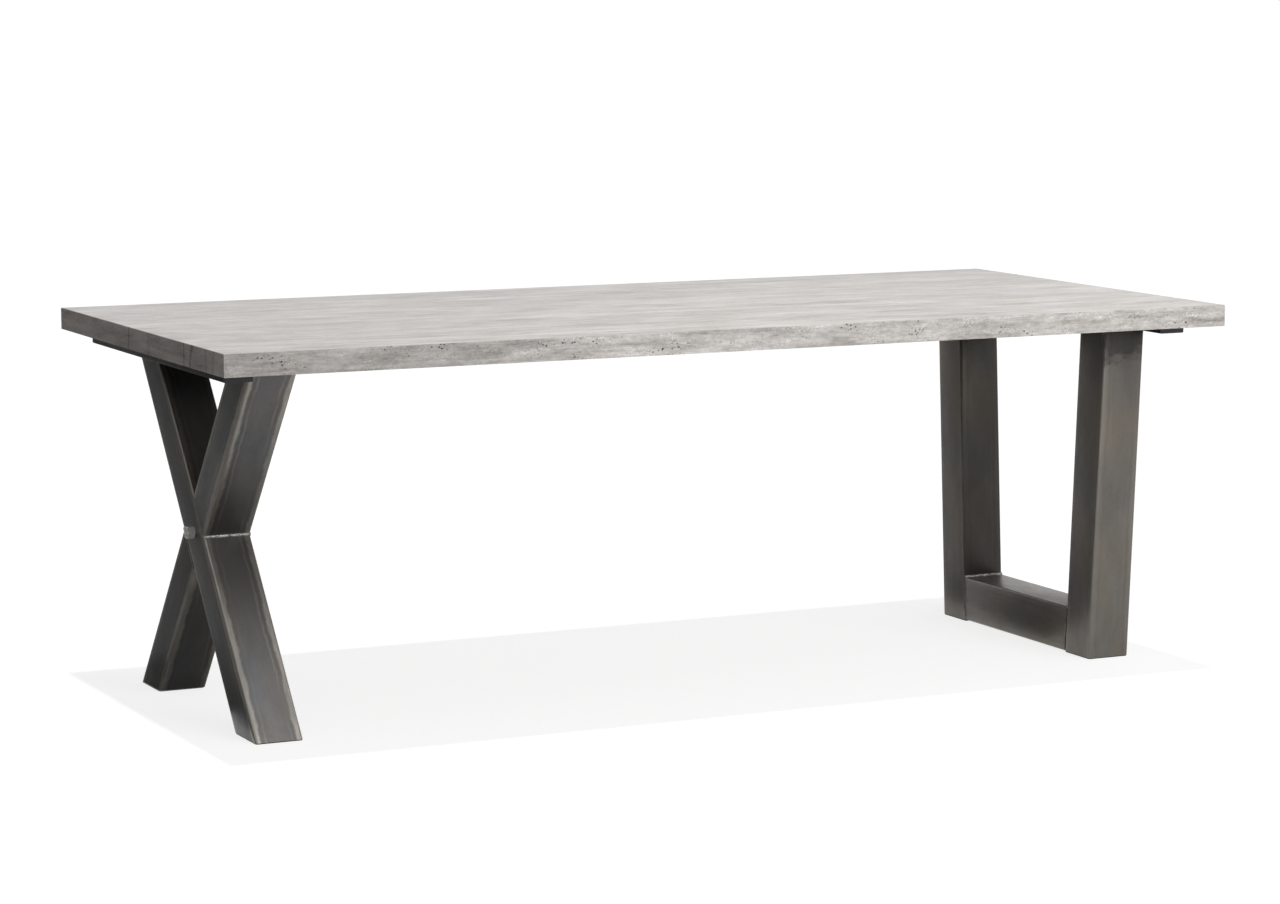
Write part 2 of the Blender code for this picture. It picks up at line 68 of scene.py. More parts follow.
TABLE = "table"
ALONG_X = Vector((1, 0, 0))
ALONG_Y = Vector((0, 1, 0))
ALONG_Z = Vector((0, 0, 1))
QUARTER = math.pi / 2
ACROSS = (("front", -1), ("back", 1))
LENGTHWISE = (("left", -1), ("right", 1))
UPRIGHT = (("upper", 1), ("lower", -1))


# ---------------------------------------------------------------- places read from the frame


def middle_of(node):
    low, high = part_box(node)
    return (low + high) / 2


def size_of(node):
    low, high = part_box(node)
    return high - low


def leaning(lean):
    """The direction up a tube that leans from upright towards the back."""
    return Vector((0, math.sin(lean), math.cos(lean)))


def arm_lean(node, width):
    """Lean from upright of a straight tube of that width whose ends are cut level."""
    size = size_of(node)
    return math.atan2(size.y, size.z) - math.asin(width / math.hypot(size.y, size.z))


# ---------------------------------------------------------------- settings


def length_setting(name, value, description):
    return FloatProperty(
        name=name, description=description, default=value, min=0.0, subtype="DISTANCE", unit="LENGTH"
    )


def colour_setting(name, value, description):
    return FloatVectorProperty(
        name=name, description=description, default=value, size=3, min=0.0, max=1.0, subtype="COLOR"
    )


def amount_setting(name, value, description, top=1.0):
    return FloatProperty(name=name, description=description, default=value, min=0.0, max=top)


class TableSizes(bpy.types.PropertyGroup):
    """Sizes of the modelled pieces that the frame leaves open."""

    band: length_setting("Edge Band", 0.002, "Thickness of the band along each edge of the top")
    arris: length_setting("Top Arris", 0.0009, "Rounding of the bands' outer edges")
    face: length_setting("Face Sheet", 0.001, "Thickness of the printed face of the top")
    x_tube_width: length_setting("X Tube Width", 0.0925, "Width of the X leg's tubes across the leg")
    u_tube_width: length_setting("U Tube Width", 0.098, "Width of the U leg's tubes across the leg")
    leg_corner: length_setting("Tube Corner", 0.006, "Outer corner radius of the leg tubes")
    leg_wall: length_setting("Tube Wall", 0.003, "Wall of the leg tubes")
    bar_corner: length_setting("Bar Corner", 0.003, "Outer corner radius of the bearers' tubes")
    bar_wall: length_setting("Bar Wall", 0.002, "Wall of the bearers' tubes")
    rim: length_setting("Cut Edge", 0.0004, "Deburred edge where a tube is cut")
    bead: length_setting("Weld Bead", 0.0082, "Width of the weld beads in the creases")
    seam: length_setting("Ground Seam", 0.0050, "Width of the welds that are ground flat")
    screw_head: length_setting("Screw Head", 0.0084, "Diameter of the channel screws' heads")
    screws: IntProperty(name="Channel Screws", description="Screws in each channel", default=4, min=2)


class TableColours(bpy.types.PropertyGroup):
    """Colours of the finishes."""

    decor: colour_setting("Top Print", (0.605, 0.578, 0.554), "Tone of the printed top")
    edge: colour_setting("Front Edge", (0.515, 0.488, 0.465), "Tone of the long edge bands")
    # The short bands' tone is partly painted shade: darker than the long bands, as the left end stands in
    # shade.
    end: colour_setting("End Edge", (0.240, 0.217, 0.206), "Tone of the short edge bands")
    backing: colour_setting("Backing", (0.330, 0.310, 0.290), "Tone of the paper under the top")
    chip: colour_setting("Chipboard", (0.420, 0.300, 0.170), "Tone of the board's core")
    steel: colour_setting("X Steel", (0.096, 0.094, 0.093), "Lacquered raw steel of the X leg")
    warm_steel: colour_setting("U Steel", (0.136, 0.126, 0.113), "Lacquered raw steel of the U leg")
    rubbed: colour_setting("Rubbed Steel", (0.300, 0.280, 0.250), "Steel where the mill skin is rubbed off")
    weld: colour_setting("Weld", (0.300, 0.290, 0.275), "Bright weld metal")
    zinc: colour_setting("Zinc", (0.620, 0.615, 0.600), "Plated fasteners")
    paint: colour_setting("Black Paint", (0.014, 0.0135, 0.0130), "Powder coat of the bearers and channels")
    plastic: colour_setting("Black Plastic", (0.016, 0.016, 0.017), "Glides and end plugs")
    nylon: colour_setting("Nylon", (0.600, 0.590, 0.540), "Runner shoes")


class StageSettings(bpy.types.PropertyGroup):
    """Floor, light and camera."""

    floor_size: length_setting("Floor", 40.0, "Side of the floor")
    floor_tone: colour_setting("Floor Tone", (0.700, 0.695, 0.690), "Tone that the floor throws back")
    shadow: amount_setting("Shadow", 0.33, "Share of the floor's look that its light and shadow have")
    sky_low: amount_setting("Dim Side", 0.04, "Light from the dim side of the studio", 4.0)
    sky_high: amount_setting("Bright Side", 0.60, "Light from the bright side of the studio", 4.0)
    overhead: amount_setting("Overhead", 1.20, "Strength of the overhead light", 20.0)
    key: amount_setting("Key", 80.0, "Power of the soft light at the front, in watts", 2000.0)
    camera: FloatVectorProperty(
        name="Camera", description="Place of the camera", default=(-3.359, -6.8985, 1.495), subtype="XYZ"
    )
    camera_turn: FloatVectorProperty(
        name="Camera Turn",
        description="Turn of the camera",
        default=(math.radians(82.34), 0.0, math.radians(-25.88)),
        subtype="EULER",
    )
    lens: FloatProperty(name="Lens", description="Focal length in millimetres", default=104.4, min=1.0)


def sizes():
    return bpy.context.scene.table_sizes


def colours():
    return bpy.context.scene.table_colours


def stage():
    return bpy.context.scene.table_stage


# ---------------------------------------------------------------- modelling by hand


def select_only(piece):
    bpy.ops.object.select_all(action="DESELECT")
    piece.select_set(True)
    bpy.context.view_layer.objects.active = piece


def start_edit(piece, kind):
    select_only(piece)
    bpy.ops.object.mode_set(mode="EDIT")
    bpy.ops.mesh.select_mode(type=kind)
    bpy.ops.mesh.select_all(action="SELECT")


def end_edit():
    bpy.ops.object.mode_set(mode="OBJECT")


def pick(piece, kind, wanted):
    """Selects the faces or edges that pass the test, in edit mode."""
    bpy.ops.mesh.select_mode(type=kind)
    bpy.ops.mesh.select_all(action="DESELECT")
    shape = bmesh.from_edit_mesh(piece.data)
    for each in shape.faces if kind == "FACE" else shape.edges:
        each.select_set(wanted(each))
    bmesh.update_edit_mesh(piece.data)


def pick_faces(piece, wanted):
    pick(piece, "FACE", wanted)


def pick_edges(piece, wanted):
    pick(piece, "EDGE", wanted)


def edge_way(edge):
    return (edge.verts[1].co - edge.verts[0].co).normalized()


def edge_middle(edge):
    return (edge.verts[0].co + edge.verts[1].co) / 2


def apply_place(piece):
    """Puts the piece's place, turn and scale into its mesh."""
    select_only(piece)
    bpy.ops.object.transform_apply(location=True, rotation=True, scale=True)


def apply_modifier(piece, kind, **settings):
    select_only(piece)
    modifier = piece.modifiers.new(kind.title(), kind)
    for setting, value in settings.items():
        setattr(modifier, setting, value)
    bpy.ops.object.modifier_apply(modifier=modifier.name)


def soften(piece, width, segments=2, angle=50):
    apply_modifier(
        piece,
        "BEVEL",
        width=width,
        segments=segments,
        limit_method="ANGLE",
        angle_limit=math.radians(angle),
        harden_normals=False,
    )


def smooth(piece, angle=35):
    select_only(piece)
    bpy.ops.object.shade_smooth_by_angle(angle=math.radians(angle))


def add_block(name, low, high):
    """A block between two corners, ready to be shaped."""
    bpy.ops.object.select_all(action="DESELECT")
    low, high = Vector(low), Vector(high)
    bpy.ops.mesh.primitive_cube_add(size=1, location=(low + high) / 2, scale=high - low)
    block = bpy.context.active_object
    block.name = name
    apply_place(block)
    return block


def add_round(name, level, radius, depth, sides, tip_radius=None):
    """A round or many-sided bar along Z, with its middle at a level above the origin."""
    bpy.ops.object.select_all(action="DESELECT")
    bpy.ops.mesh.primitive_cone_add(
        vertices=sides,
        radius1=radius,
        radius2=radius if tip_radius is None else tip_radius,
        depth=depth,
        location=(0, 0, level),
    )
    bar = bpy.context.active_object
    bar.name = name
    apply_place(bar)
    return bar


def combine(piece, other, operation):
    """Adds, cuts or keeps the shared part of the other shape, which goes away."""
    apply_modifier(piece, "BOOLEAN", operation=operation, object=other, solver="EXACT")
    bpy.data.objects.remove(other, do_unlink=True)


def copied(piece, name, shift):
    """A copy with its own mesh, moved from where the piece is."""
    select_only(piece)
    bpy.ops.object.duplicate(linked=False)
    copy = bpy.context.active_object
    copy.name = name
    copy.location = shift
    apply_place(copy)
    return copy


def finish_piece(piece, material, body, replaced=()):
    """Gives a modelled piece its finish and its body, and hides the frame's nodes it stands for."""
    piece.data.name = piece.name
    piece.data.materials.clear()
    piece.data.materials.append(material)
    if replaced:
        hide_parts(*replaced)
    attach(piece, body)


def dress_node(node, material):
    """Gives a node of the frame, which keeps its shape, a better finish."""
    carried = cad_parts[node]
    carried.data.materials.clear()
    carried.data.materials.append(material)


# ---------------------------------------------------------------- shader graphs


class Graph:
    """Adds nodes to one tree. A value is a socket or a constant."""

    def __init__(self, tree):
        self.tree = tree

    def add(self, kind, **settings):
        node = self.tree.nodes.new(kind)
        for setting, value in settings.items():
            setattr(node, setting, value)
        return node

    def feed(self, socket, value):
        if isinstance(value, bpy.types.NodeSocket):
            self.tree.links.new(value, socket)
        else:
            socket.default_value = value

    def maths(self, operation, *values, clamp=False):
        node = self.add("ShaderNodeMath", operation=operation, use_clamp=clamp)
        for socket, value in zip(node.inputs, values):
            self.feed(socket, value)
        return node.outputs[0]

    def chain(self, operation, total, *others):
        for other in others:
            total = self.maths(operation, total, other)
        return total

    def add_up(self, *values):
        return self.chain("ADD", *values)

    def times(self, *values):
        return self.chain("MULTIPLY", *values)

    def spread(self, value, low, high, to_low=0.0, to_high=1.0, smooth=False):
        """The value carried from one range to another, held at its ends."""
        kind = "SMOOTHSTEP" if smooth else "LINEAR"
        node = self.add("ShaderNodeMapRange", interpolation_type=kind)
        for index, given in enumerate((value, low, high, to_low, to_high)):
            self.feed(node.inputs[index], given)
        return node.outputs[0]

    def band(self, value, start, full, hold, end):
        """1 between full and hold, falling to 0 at start and end."""
        rise = self.spread(value, start, full, smooth=True)
        fall = self.spread(value, hold, end, 1.0, 0.0, smooth=True)
        return self.times(rise, fall)

    def scaled(self, place, spot, shift=(0.0, 0.0, 0.0), turn=(0.0, 0.0, 0.0)):
        """Place measured in spots of the given size, about a shifted and turned origin."""
        node = self.add("ShaderNodeMapping", vector_type="TEXTURE")
        self.feed(node.inputs["Vector"], place)
        node.inputs["Location"].default_value = shift
        node.inputs["Rotation"].default_value = turn
        node.inputs["Scale"].default_value = spot
        return node.outputs[0]

    def noise(self, place, spot, detail=2.0, roughness=0.5, shift=(0.0, 0.0, 0.0)):
        """Cloudy noise whose spots have about the given size along each axis."""
        node = self.add("ShaderNodeTexNoise", noise_dimensions="3D")
        self.feed(node.inputs["Vector"], self.scaled(place, spot, shift))
        node.inputs["Scale"].default_value = 1.0
        node.inputs["Detail"].default_value = detail
        node.inputs["Roughness"].default_value = roughness
        return node.outputs[0]

    def cells(self, place, spot, shift=(0.0, 0.0, 0.0)):
        """Distance to scattered points, about one in each spot."""
        node = self.add("ShaderNodeTexVoronoi", voronoi_dimensions="3D", feature="F1")
        self.feed(node.inputs["Vector"], self.scaled(place, spot, shift))
        node.inputs["Scale"].default_value = 1.0
        return node

    def mix(self, share, first, second, mode="MIX"):
        node = self.add("ShaderNodeMix", data_type="RGBA", blend_type=mode, clamp_factor=True)
        self.feed(node.inputs[0], share)
        self.feed(node.inputs[6], first)
        self.feed(node.inputs[7], second)
        return node.outputs[2]

    def mix_shaders(self, share, first, second):
        node = self.add("ShaderNodeMixShader")
        self.feed(node.inputs[0], share)
        self.feed(node.inputs[1], first.outputs[0])
        self.feed(node.inputs[2], second.outputs[0])
        return node

    def shaded(self, colour, amount):
        """The colour made lighter or darker by an amount about 1."""
        node = self.add("ShaderNodeVectorMath", operation="SCALE")
        self.feed(node.inputs[0], colour)
        self.feed(node.inputs["Scale"], amount)
        return node.outputs[0]

    def split(self, place):
        node = self.add("ShaderNodeSeparateXYZ")
        self.feed(node.inputs[0], place)
        return node.outputs

    def bump(self, height, depth):
        """Normal from a height of 0 to 1 that stands for a real depth."""
        node = self.add("ShaderNodeBump")
        node.inputs["Distance"].default_value = depth
        self.feed(node.inputs["Height"], height)
        return node.outputs[0]

    def group(self, tree, **values):
        """Places a node group and feeds its inputs by name, with _ for a space."""
        node = self.add("ShaderNodeGroup", node_tree=tree)
        for name, value in values.items():
            self.feed(node.inputs[name.replace("_", " ")], value)
        return node.outputs


def opaque(colour):
    return (*colour, 1.0)


def start_group(name, inputs, outputs):
    """A new shader group, its graph, and its input and output nodes' sockets by name."""
    tree = bpy.data.node_groups.new(name, "ShaderNodeTree")
    for label, kind in inputs.items():
        tree.interface.new_socket(label, in_out="INPUT", socket_type=f"NodeSocket{kind}")
    for label, kind in outputs.items():
        tree.interface.new_socket(label, in_out="OUTPUT", socket_type=f"NodeSocket{kind}")
    graph = Graph(tree)
    given = graph.add("NodeGroupInput").outputs
    wanted = graph.add("NodeGroupOutput").inputs
    return tree, graph, given, wanted


def start_material(name, roughness, metallic, specular=0.5):
    """A new material's graph and Principled shader, with the values that are the same all over."""
    material = bpy.data.materials.new(name)
    material.use_nodes = True
    shader = material.node_tree.nodes["Principled BSDF"]
    shader.inputs["Roughness"].default_value = roughness
    shader.inputs["Metallic"].default_value = metallic
    shader.inputs["Specular IOR Level"].default_value = specular
    return material, Graph(material.node_tree), shader.inputs


def object_place(graph):
    return graph.add("ShaderNodeTexCoord").outputs["Object"]


def wire_shader(graph, shader, colour, roughness, height, depth):
    """Feeds a shader's colour and roughness, and its normal from a height that stands for a depth."""
    graph.feed(shader["Base Color"], colour)
    graph.feed(shader["Roughness"], roughness)
    graph.feed(shader["Normal"], graph.bump(height, depth))


def seen_rays(graph):
    """1 for the rays of the camera, of gloss and of glass, and 0 for the light that things throw."""
    path = graph.add("ShaderNodeLightPath").outputs
    seen = graph.add_up(path["Is Camera Ray"], path["Is Glossy Ray"], path["Is Transmission Ray"])
    return graph.maths("MINIMUM", seen, 1.0)


# ---------------------------------------------------------------- finishes used by several materials

GROUPS = {}


def group_corner():
    """Distance of a point on a square tube's skin from the nearest lengthwise corner."""
    tree, graph, given, wanted = start_group(
        "Tube Corner Distance",
        {"Place": "Vector", "Half Depth": "Float", "Half Width": "Float"},
        {"Distance": "Float"},
    )
    depth, across, _ = graph.split(given["Place"])
    from_depth = graph.maths("SUBTRACT", given["Half Depth"], graph.maths("ABSOLUTE", depth))
    from_width = graph.maths("SUBTRACT", given["Half Width"], graph.maths("ABSOLUTE", across))
    graph.feed(wanted["Distance"], graph.maths("MAXIMUM", from_depth, from_width))
    return tree


def group_mill_steel():
    """Lacquered mill steel: grain along the tube, cloudy skin, and light bands and lines beside the
    corners, partly rubbed mill skin and partly painted corner highlight.
    """
    tree, graph, given, wanted = start_group(
        "Mill Steel",
        {"Place": "Vector", "Corner": "Float", "Steel": "Color", "Rubbed": "Color", "Wear": "Float"},
        {"Color": "Color", "Roughness": "Float", "Height": "Float", "Band": "Float"},
    )
    place = given["Place"]
    # Light bands beside the corners: partly rubbed mill skin, partly painted highlight along the rounded
    # corners.
    wander = graph.noise(place, (0.030, 0.030, 0.040), detail=3.0, roughness=0.6)
    shift = graph.times(graph.maths("SUBTRACT", wander, 0.5), 0.012)
    edge = graph.add_up(given["Corner"], shift)
    share = graph.noise(place, (0.055, 0.055, 0.230), detail=2.0, shift=(0.3, 0.1, 0.2))
    share = graph.spread(share, 0.34, 0.54, 0.50, 1.0)
    broad = graph.noise(place, (0.120, 0.120, 0.300), detail=1.0, shift=(0.9, 0.4, 0.1))
    inner = graph.spread(broad, 0.42, 0.56, 0.0035, -0.0040)
    outer = graph.spread(edge, 0.0105, 0.0150, 1.0, 0.0)
    wide = graph.times(outer, graph.spread(graph.maths("SUBTRACT", edge, inner), 0.0, 0.0020))
    rub = graph.noise(place, (0.0016, 0.0016, 0.030), detail=3.0)
    rub = graph.spread(rub, 0.30, 0.70, 0.52, 0.90)
    second = graph.band(edge, 0.0200, 0.0220, 0.0235, 0.0265)
    second = graph.times(second, graph.spread(share, 0.5, 1.0), 0.28)
    band = graph.times(graph.maths("MAXIMUM", wide, second), share, rub, given["Wear"])
    hairline = (0.0011, 0.0011, 0.045)
    scratch = graph.noise(place, hairline, detail=3.0, roughness=0.6, shift=(0.2, 0.6, 0.4))
    # Thin bright line along each corner: partly a rubbed line, partly painted corner highlight.
    line = graph.band(given["Corner"], 0.0, 0.0010, 0.0040, 0.0072)
    line = graph.times(line, graph.spread(scratch, 0.38, 0.58, 0.42, 1.15), given["Wear"])
    worn_and_highlight = graph.maths("MAXIMUM", band, line, clamp=True)

    cloud = graph.noise(place, (0.070, 0.070, 0.160), detail=4.0, roughness=0.62, shift=(0.7, 0.2, 0.0))
    streak = graph.noise(place, (0.0060, 0.0060, 0.300), detail=3.0, roughness=0.6)
    grain = graph.noise(place, (0.0006, 0.0006, 0.022), detail=2.0)
    scale = graph.noise(place, (0.0030, 0.0030, 0.0045), detail=3.0, roughness=0.65)
    tone = graph.add_up(
        graph.spread(cloud, 0.25, 0.75, 0.70, 1.04),
        graph.spread(streak, 0.25, 0.75, -0.025, 0.030),
        graph.spread(grain, 0.25, 0.75, -0.03, 0.03),
        graph.spread(scale, 0.30, 0.80, 0.03, -0.06),
    )
    warm = graph.noise(place, (0.090, 0.090, 0.140), detail=2.0, shift=(0.1, 0.5, 0.9))
    tint = graph.mix(graph.spread(warm, 0.35, 0.65), (0.98, 0.99, 1.02, 1.0), (1.04, 1.0, 0.95, 1.0))
    skin = graph.mix(1.0, given["Steel"], tint, "MULTIPLY")
    skin = graph.shaded(skin, graph.add_up(tone, 0.12))
    rubbed = graph.shaded(given["Rubbed"], graph.spread(grain, 0.25, 0.75, 0.85, 1.12))
    graph.feed(wanted["Color"], graph.mix(worn_and_highlight, skin, rubbed))

    rough = graph.add_up(
        graph.spread(cloud, 0.25, 0.75, 0.44, 0.32), graph.spread(scale, 0.30, 0.80, -0.03, 0.06)
    )
    rough = graph.maths("SUBTRACT", rough, graph.times(worn_and_highlight, 0.05))
    graph.feed(wanted["Roughness"], rough)
    height = graph.add_up(graph.times(grain, 0.30), graph.times(scale, 0.45), graph.times(streak, 0.25))
    graph.feed(wanted["Height"], height)
    graph.feed(wanted["Band"], worn_and_highlight)
    return tree


def group_concrete():
    """Printed board concrete: lengthwise shuttering streaks, cloudy patches, pits and light grit."""
    tree, graph, given, wanted = start_group(
        "Concrete Print",
        {
            "Place": "Vector",
            "Tone": "Color",
            "Streaks": "Float",
            "Patches": "Float",
            "Pits": "Float",
            "Grit": "Float",
            "Cracks": "Float",
        },
        {"Color": "Color", "Roughness": "Float", "Height": "Float"},
    )
    place = given["Place"]
    broad = graph.noise(place, (0.420, 0.050, 0.050), detail=4.0, roughness=0.62)
    fine = graph.noise(place, (0.120, 0.0065, 0.0065), detail=4.0, roughness=0.65, shift=(0.4, 0.7, 0.1))
    hair = graph.noise(place, (0.050, 0.0016, 0.0016), detail=3.0, roughness=0.6)
    streaks = graph.add_up(
        graph.spread(broad, 0.28, 0.72, -0.060, 0.060),
        graph.spread(fine, 0.28, 0.72, -0.066, 0.066),
        graph.spread(hair, 0.28, 0.72, -0.045, 0.045),
    )
    cloud = graph.noise(place, (0.110, 0.060, 0.020), detail=5.0, roughness=0.66, shift=(0.2, 0.3, 0.6))
    mottle = graph.noise(place, (0.012, 0.007, 0.005), detail=4.0, roughness=0.72)
    patches = graph.add_up(
        graph.spread(cloud, 0.28, 0.72, -0.13, 0.13), graph.spread(mottle, 0.28, 0.72, -0.08, 0.08)
    )
    pit_field = graph.cells(place, (0.0085, 0.0085, 0.0060), shift=(0.013, 0.02, 0.004))
    pit_zone = graph.spread(graph.noise(place, (0.090, 0.050, 0.025), detail=2.0), 0.50, 0.66)
    pit = graph.times(graph.spread(pit_field.outputs["Distance"], 0.16, 0.32, 1.0, 0.0), pit_zone)
    grit_field = graph.cells(place, (0.0045, 0.0045, 0.0035), shift=(0.11, 0.05, 0.03))
    grit_zone = graph.noise(place, (0.075, 0.040, 0.022), detail=3.0, shift=(0.5, 0.1, 0.8))
    grit_zone = graph.spread(grit_zone, 0.47, 0.62)
    grit = graph.times(graph.spread(grit_field.outputs["Distance"], 0.18, 0.34, 1.0, 0.0), grit_zone)
    line = graph.noise(place, (0.130, 0.900, 0.900), detail=1.0, shift=(0.05, 0.3, 0.0))
    crack = graph.band(line, 0.486, 0.497, 0.503, 0.514)
    tone = graph.add_up(
        1.0,
        graph.times(crack, given["Cracks"], -1.0),
        graph.times(streaks, given["Streaks"]),
        graph.times(patches, given["Patches"]),
        graph.times(pit, given["Pits"], -1.0),
        graph.times(grit, given["Grit"]),
    )
    tint = graph.mix(graph.spread(cloud, 0.35, 0.65), (1.012, 1.0, 0.985, 1.0), (0.990, 1.0, 1.012, 1.0))
    toned = graph.mix(1.0, given["Tone"], tint, "MULTIPLY")
    graph.feed(wanted["Color"], graph.shaded(toned, tone))
    graph.feed(wanted["Roughness"], graph.spread(fine, 0.25, 0.75, 0.46, 0.58))
    height = graph.add_up(
        graph.times(hair, 0.35),
        graph.times(fine, 0.35),
        graph.times(mottle, 0.20),
        graph.times(pit, -0.5),
    )
    graph.feed(wanted["Height"], height)
    return tree


def group_grained():
    """Fine even surface grain of powder coat, moulded plastic or plating, with light dust."""
    tree, graph, given, wanted = start_group(
        "Grained Surface",
        {"Place": "Vector", "Tone": "Color", "Spot": "Float", "Dust": "Float", "Gloss": "Float"},
        {"Color": "Color", "Roughness": "Float", "Height": "Float"},
    )
    grown = graph.add("ShaderNodeVectorMath", operation="DIVIDE")
    graph.feed(grown.inputs[0], given["Place"])
    spot = graph.add("ShaderNodeCombineXYZ")
    for index in range(3):
        graph.feed(spot.inputs[index], given["Spot"])
    graph.feed(grown.inputs[1], spot.outputs[0])
    peel = graph.noise(grown.outputs[0], (1.0, 1.0, 1.0), detail=2.0, roughness=0.45)
    specks = graph.noise(grown.outputs[0], (0.35, 0.35, 0.35), detail=2.0)
    haze = graph.noise(given["Place"], (0.040, 0.040, 0.030), detail=4.0, roughness=0.6)
    dusty = graph.times(graph.spread(haze, 0.42, 0.72), graph.spread(specks, 0.45, 0.65), given["Dust"])
    tone = graph.shaded(given["Tone"], graph.spread(peel, 0.25, 0.75, 0.88, 1.12))
    graph.feed(wanted["Color"], graph.mix(dusty, tone, (0.30, 0.29, 0.27, 1.0)))
    rough = graph.add_up(given["Gloss"], graph.spread(haze, 0.3, 0.7, -0.05, 0.07), graph.times(dusty, 0.2))
    graph.feed(wanted["Roughness"], rough)
    graph.feed(wanted["Height"], graph.add_up(peel, graph.times(specks, 0.25)))
    return tree


def build_groups():
    GROUPS["corner"] = group_corner()
    GROUPS["mill_steel"] = group_mill_steel()
    GROUPS["concrete"] = group_concrete()
    GROUPS["grained"] = group_grained()


# ---------------------------------------------------------------- materials


def tube_material(name, middle, lean, section, tone, wear, dark_from=None, top_wear=1.0):
    """Mill steel laid along one tube: its grain follows the tube, and its light bands and lines follow the
    corners, partly rubbed mill skin and partly painted corner highlight.

    Where a height is given, the two sides that face across the table are darker above it: painted shade, as
    under the top and between the tubes.
    In the upper half the bands and lines are the given share of the lower half's."""
    depth, width = section[:2]
    material, graph, shader = start_material(name, 0.38, 0.55)
    place = graph.scaled(object_place(graph), (1, 1, 1), shift=middle, turn=(-lean, 0, 0))
    corner = graph.group(
        GROUPS["corner"], Place=place, Half_Depth=depth / 2, Half_Width=width / 2
    )["Distance"]
    steel = graph.group(
        GROUPS["mill_steel"],
        Place=place,
        Corner=corner,
        Steel=opaque(tone),
        Rubbed=opaque(colours().rubbed),
        Wear=graph.spread(graph.split(place)[2], -0.06, 0.08, wear, wear * top_wear),
    )
    skin = steel["Color"]
    # Painted shade: the across-facing sides darken above the given height, with a ragged edge, for the
    # shade under the top and between the tubes.
    if dark_from is not None:
        _, across, along = graph.split(place)
        side = graph.spread(graph.maths("ABSOLUTE", across), width / 2 - 0.0045, width / 2 - 0.0015)
        edge = graph.noise(place, (0.050, 0.050, 0.030), detail=3.0, roughness=0.55)
        start = dark_from - middle.z
        rim = graph.add_up(along, graph.spread(edge, 0.3, 0.7, -0.025, 0.025))
        dark = graph.add_up(
            graph.spread(along, start - 0.18, start, 0.0, 0.36),
            graph.spread(rim, start - 0.010, start + 0.016, 0.0, 0.34),
        )
        skin = graph.shaded(skin, graph.maths("SUBTRACT", 1.0, graph.times(side, dark)))
    graph.feed(shader["Metallic"], graph.spread(steel["Band"], 0.0, 1.0, 0.86, 0.80))
    wire_shader(graph, shader, skin, steel["Roughness"], steel["Height"], 0.00010)
    return material


def concrete_material(
    name, tone, along, streaks, patches, pits, grit, shift=(0, 0, 0), left_painted_shade=1.0, cracks=0.0
):
    """Concrete print whose streaks run along X, or along Y where along is Y.

    Towards the left end the tone falls to the given share: painted shade, darker where less light falls."""
    material, graph, shader = start_material(name, 0.52, 0.0, 0.42)
    turn = (0, 0, QUARTER) if along == "Y" else (0, 0, 0)
    place = graph.scaled(object_place(graph), (1, 1, 1), shift=shift, turn=turn)
    printed = graph.group(
        GROUPS["concrete"],
        Place=place,
        Tone=opaque(tone),
        Streaks=streaks,
        Patches=patches,
        Pits=pits,
        Grit=grit,
        Cracks=cracks,
    )
    # Painted shade: the print darkens towards the left end.
    left_painted_shade_ramp = graph.spread(graph.split(object_place(graph))[0], -0.70, -0.35, left_painted_shade, 1.0)
    colour = graph.shaded(printed["Color"], left_painted_shade_ramp)
    wire_shader(graph, shader, colour, printed["Roughness"], printed["Height"], 0.00012)
    return material


def grained_material(name, tone, spot, gloss, metallic, dust, depth, specular=0.5):
    """A fine even grain whose spots have the given size and depth, under a share of dust."""
    material, graph, shader = start_material(name, gloss, metallic, specular)
    surface = graph.group(
        GROUPS["grained"],
        Place=object_place(graph),
        Tone=opaque(tone),
        Spot=spot,
        Dust=dust,
        Gloss=gloss,
    )
    wire_shader(graph, shader, surface["Color"], surface["Roughness"], surface["Height"], depth)
    return material


def weld_material():
    """Rippled weld metal with dark pits and slag in its dips."""
    material, graph, shader = start_material("Weld", 0.36, 0.75)
    place = object_place(graph)
    pits = graph.cells(place, (0.0050, 0.0034, 0.0034)).outputs["Distance"]
    slag = graph.noise(place, (0.0120, 0.0050, 0.0050), detail=3.0, roughness=0.6)
    dirty = graph.maths(
        "MAXIMUM", graph.spread(pits, 0.18, 0.36, 1.0, 0.0), graph.spread(slag, 0.50, 0.68), clamp=True
    )
    ripple = graph.noise(place, (0.0018, 0.0060, 0.0060), detail=2.0)
    colour = graph.mix(dirty, opaque(colours().weld), (0.045, 0.040, 0.036, 1.0))
    height = graph.maths("SUBTRACT", ripple, graph.times(dirty, 0.6))
    wire_shader(graph, shader, colour, graph.spread(dirty, 0.0, 1.0, 0.34, 0.58), height, 0.0006)
    return material


def seam_material():
    """Weld metal ground flush: bright short scratches over the steel."""
    material, graph, shader = start_material("Ground Seam", 0.34, 0.6)
    place = object_place(graph)
    scratch = graph.noise(place, (0.004, 0.0005, 0.006), detail=3.0)
    patch = graph.noise(place, (0.010, 0.010, 0.014), detail=3.0, roughness=0.6)
    share = graph.times(graph.spread(scratch, 0.35, 0.65), graph.spread(patch, 0.40, 0.62))
    colour = graph.mix(share, opaque(colours().steel), opaque(colours().rubbed))
    wire_shader(graph, shader, colour, graph.spread(share, 0.0, 1.0, 0.42, 0.30), scratch, 0.0002)
    return material


def chipboard_material():
    """Pressed wood chips of the core."""
    material, graph, shader = start_material("Chipboard", 0.85, 0.0, 0.3)
    place = object_place(graph)
    chips = graph.cells(place, (0.006, 0.006, 0.0015))
    flake = graph.noise(place, (0.0012, 0.004, 0.0008), detail=3.0)
    tone = graph.add_up(
        graph.spread(graph.split(chips.outputs["Color"])[0], 0.0, 1.0, 0.70, 1.12),
        graph.spread(flake, 0.3, 0.7, -0.15, 0.15),
    )
    colour = graph.shaded(colours().chip, tone)
    rough = graph.spread(flake, 0.3, 0.7, 0.80, 0.92)
    wire_shader(graph, shader, colour, rough, chips.outputs["Distance"], 0.0004)
    return material


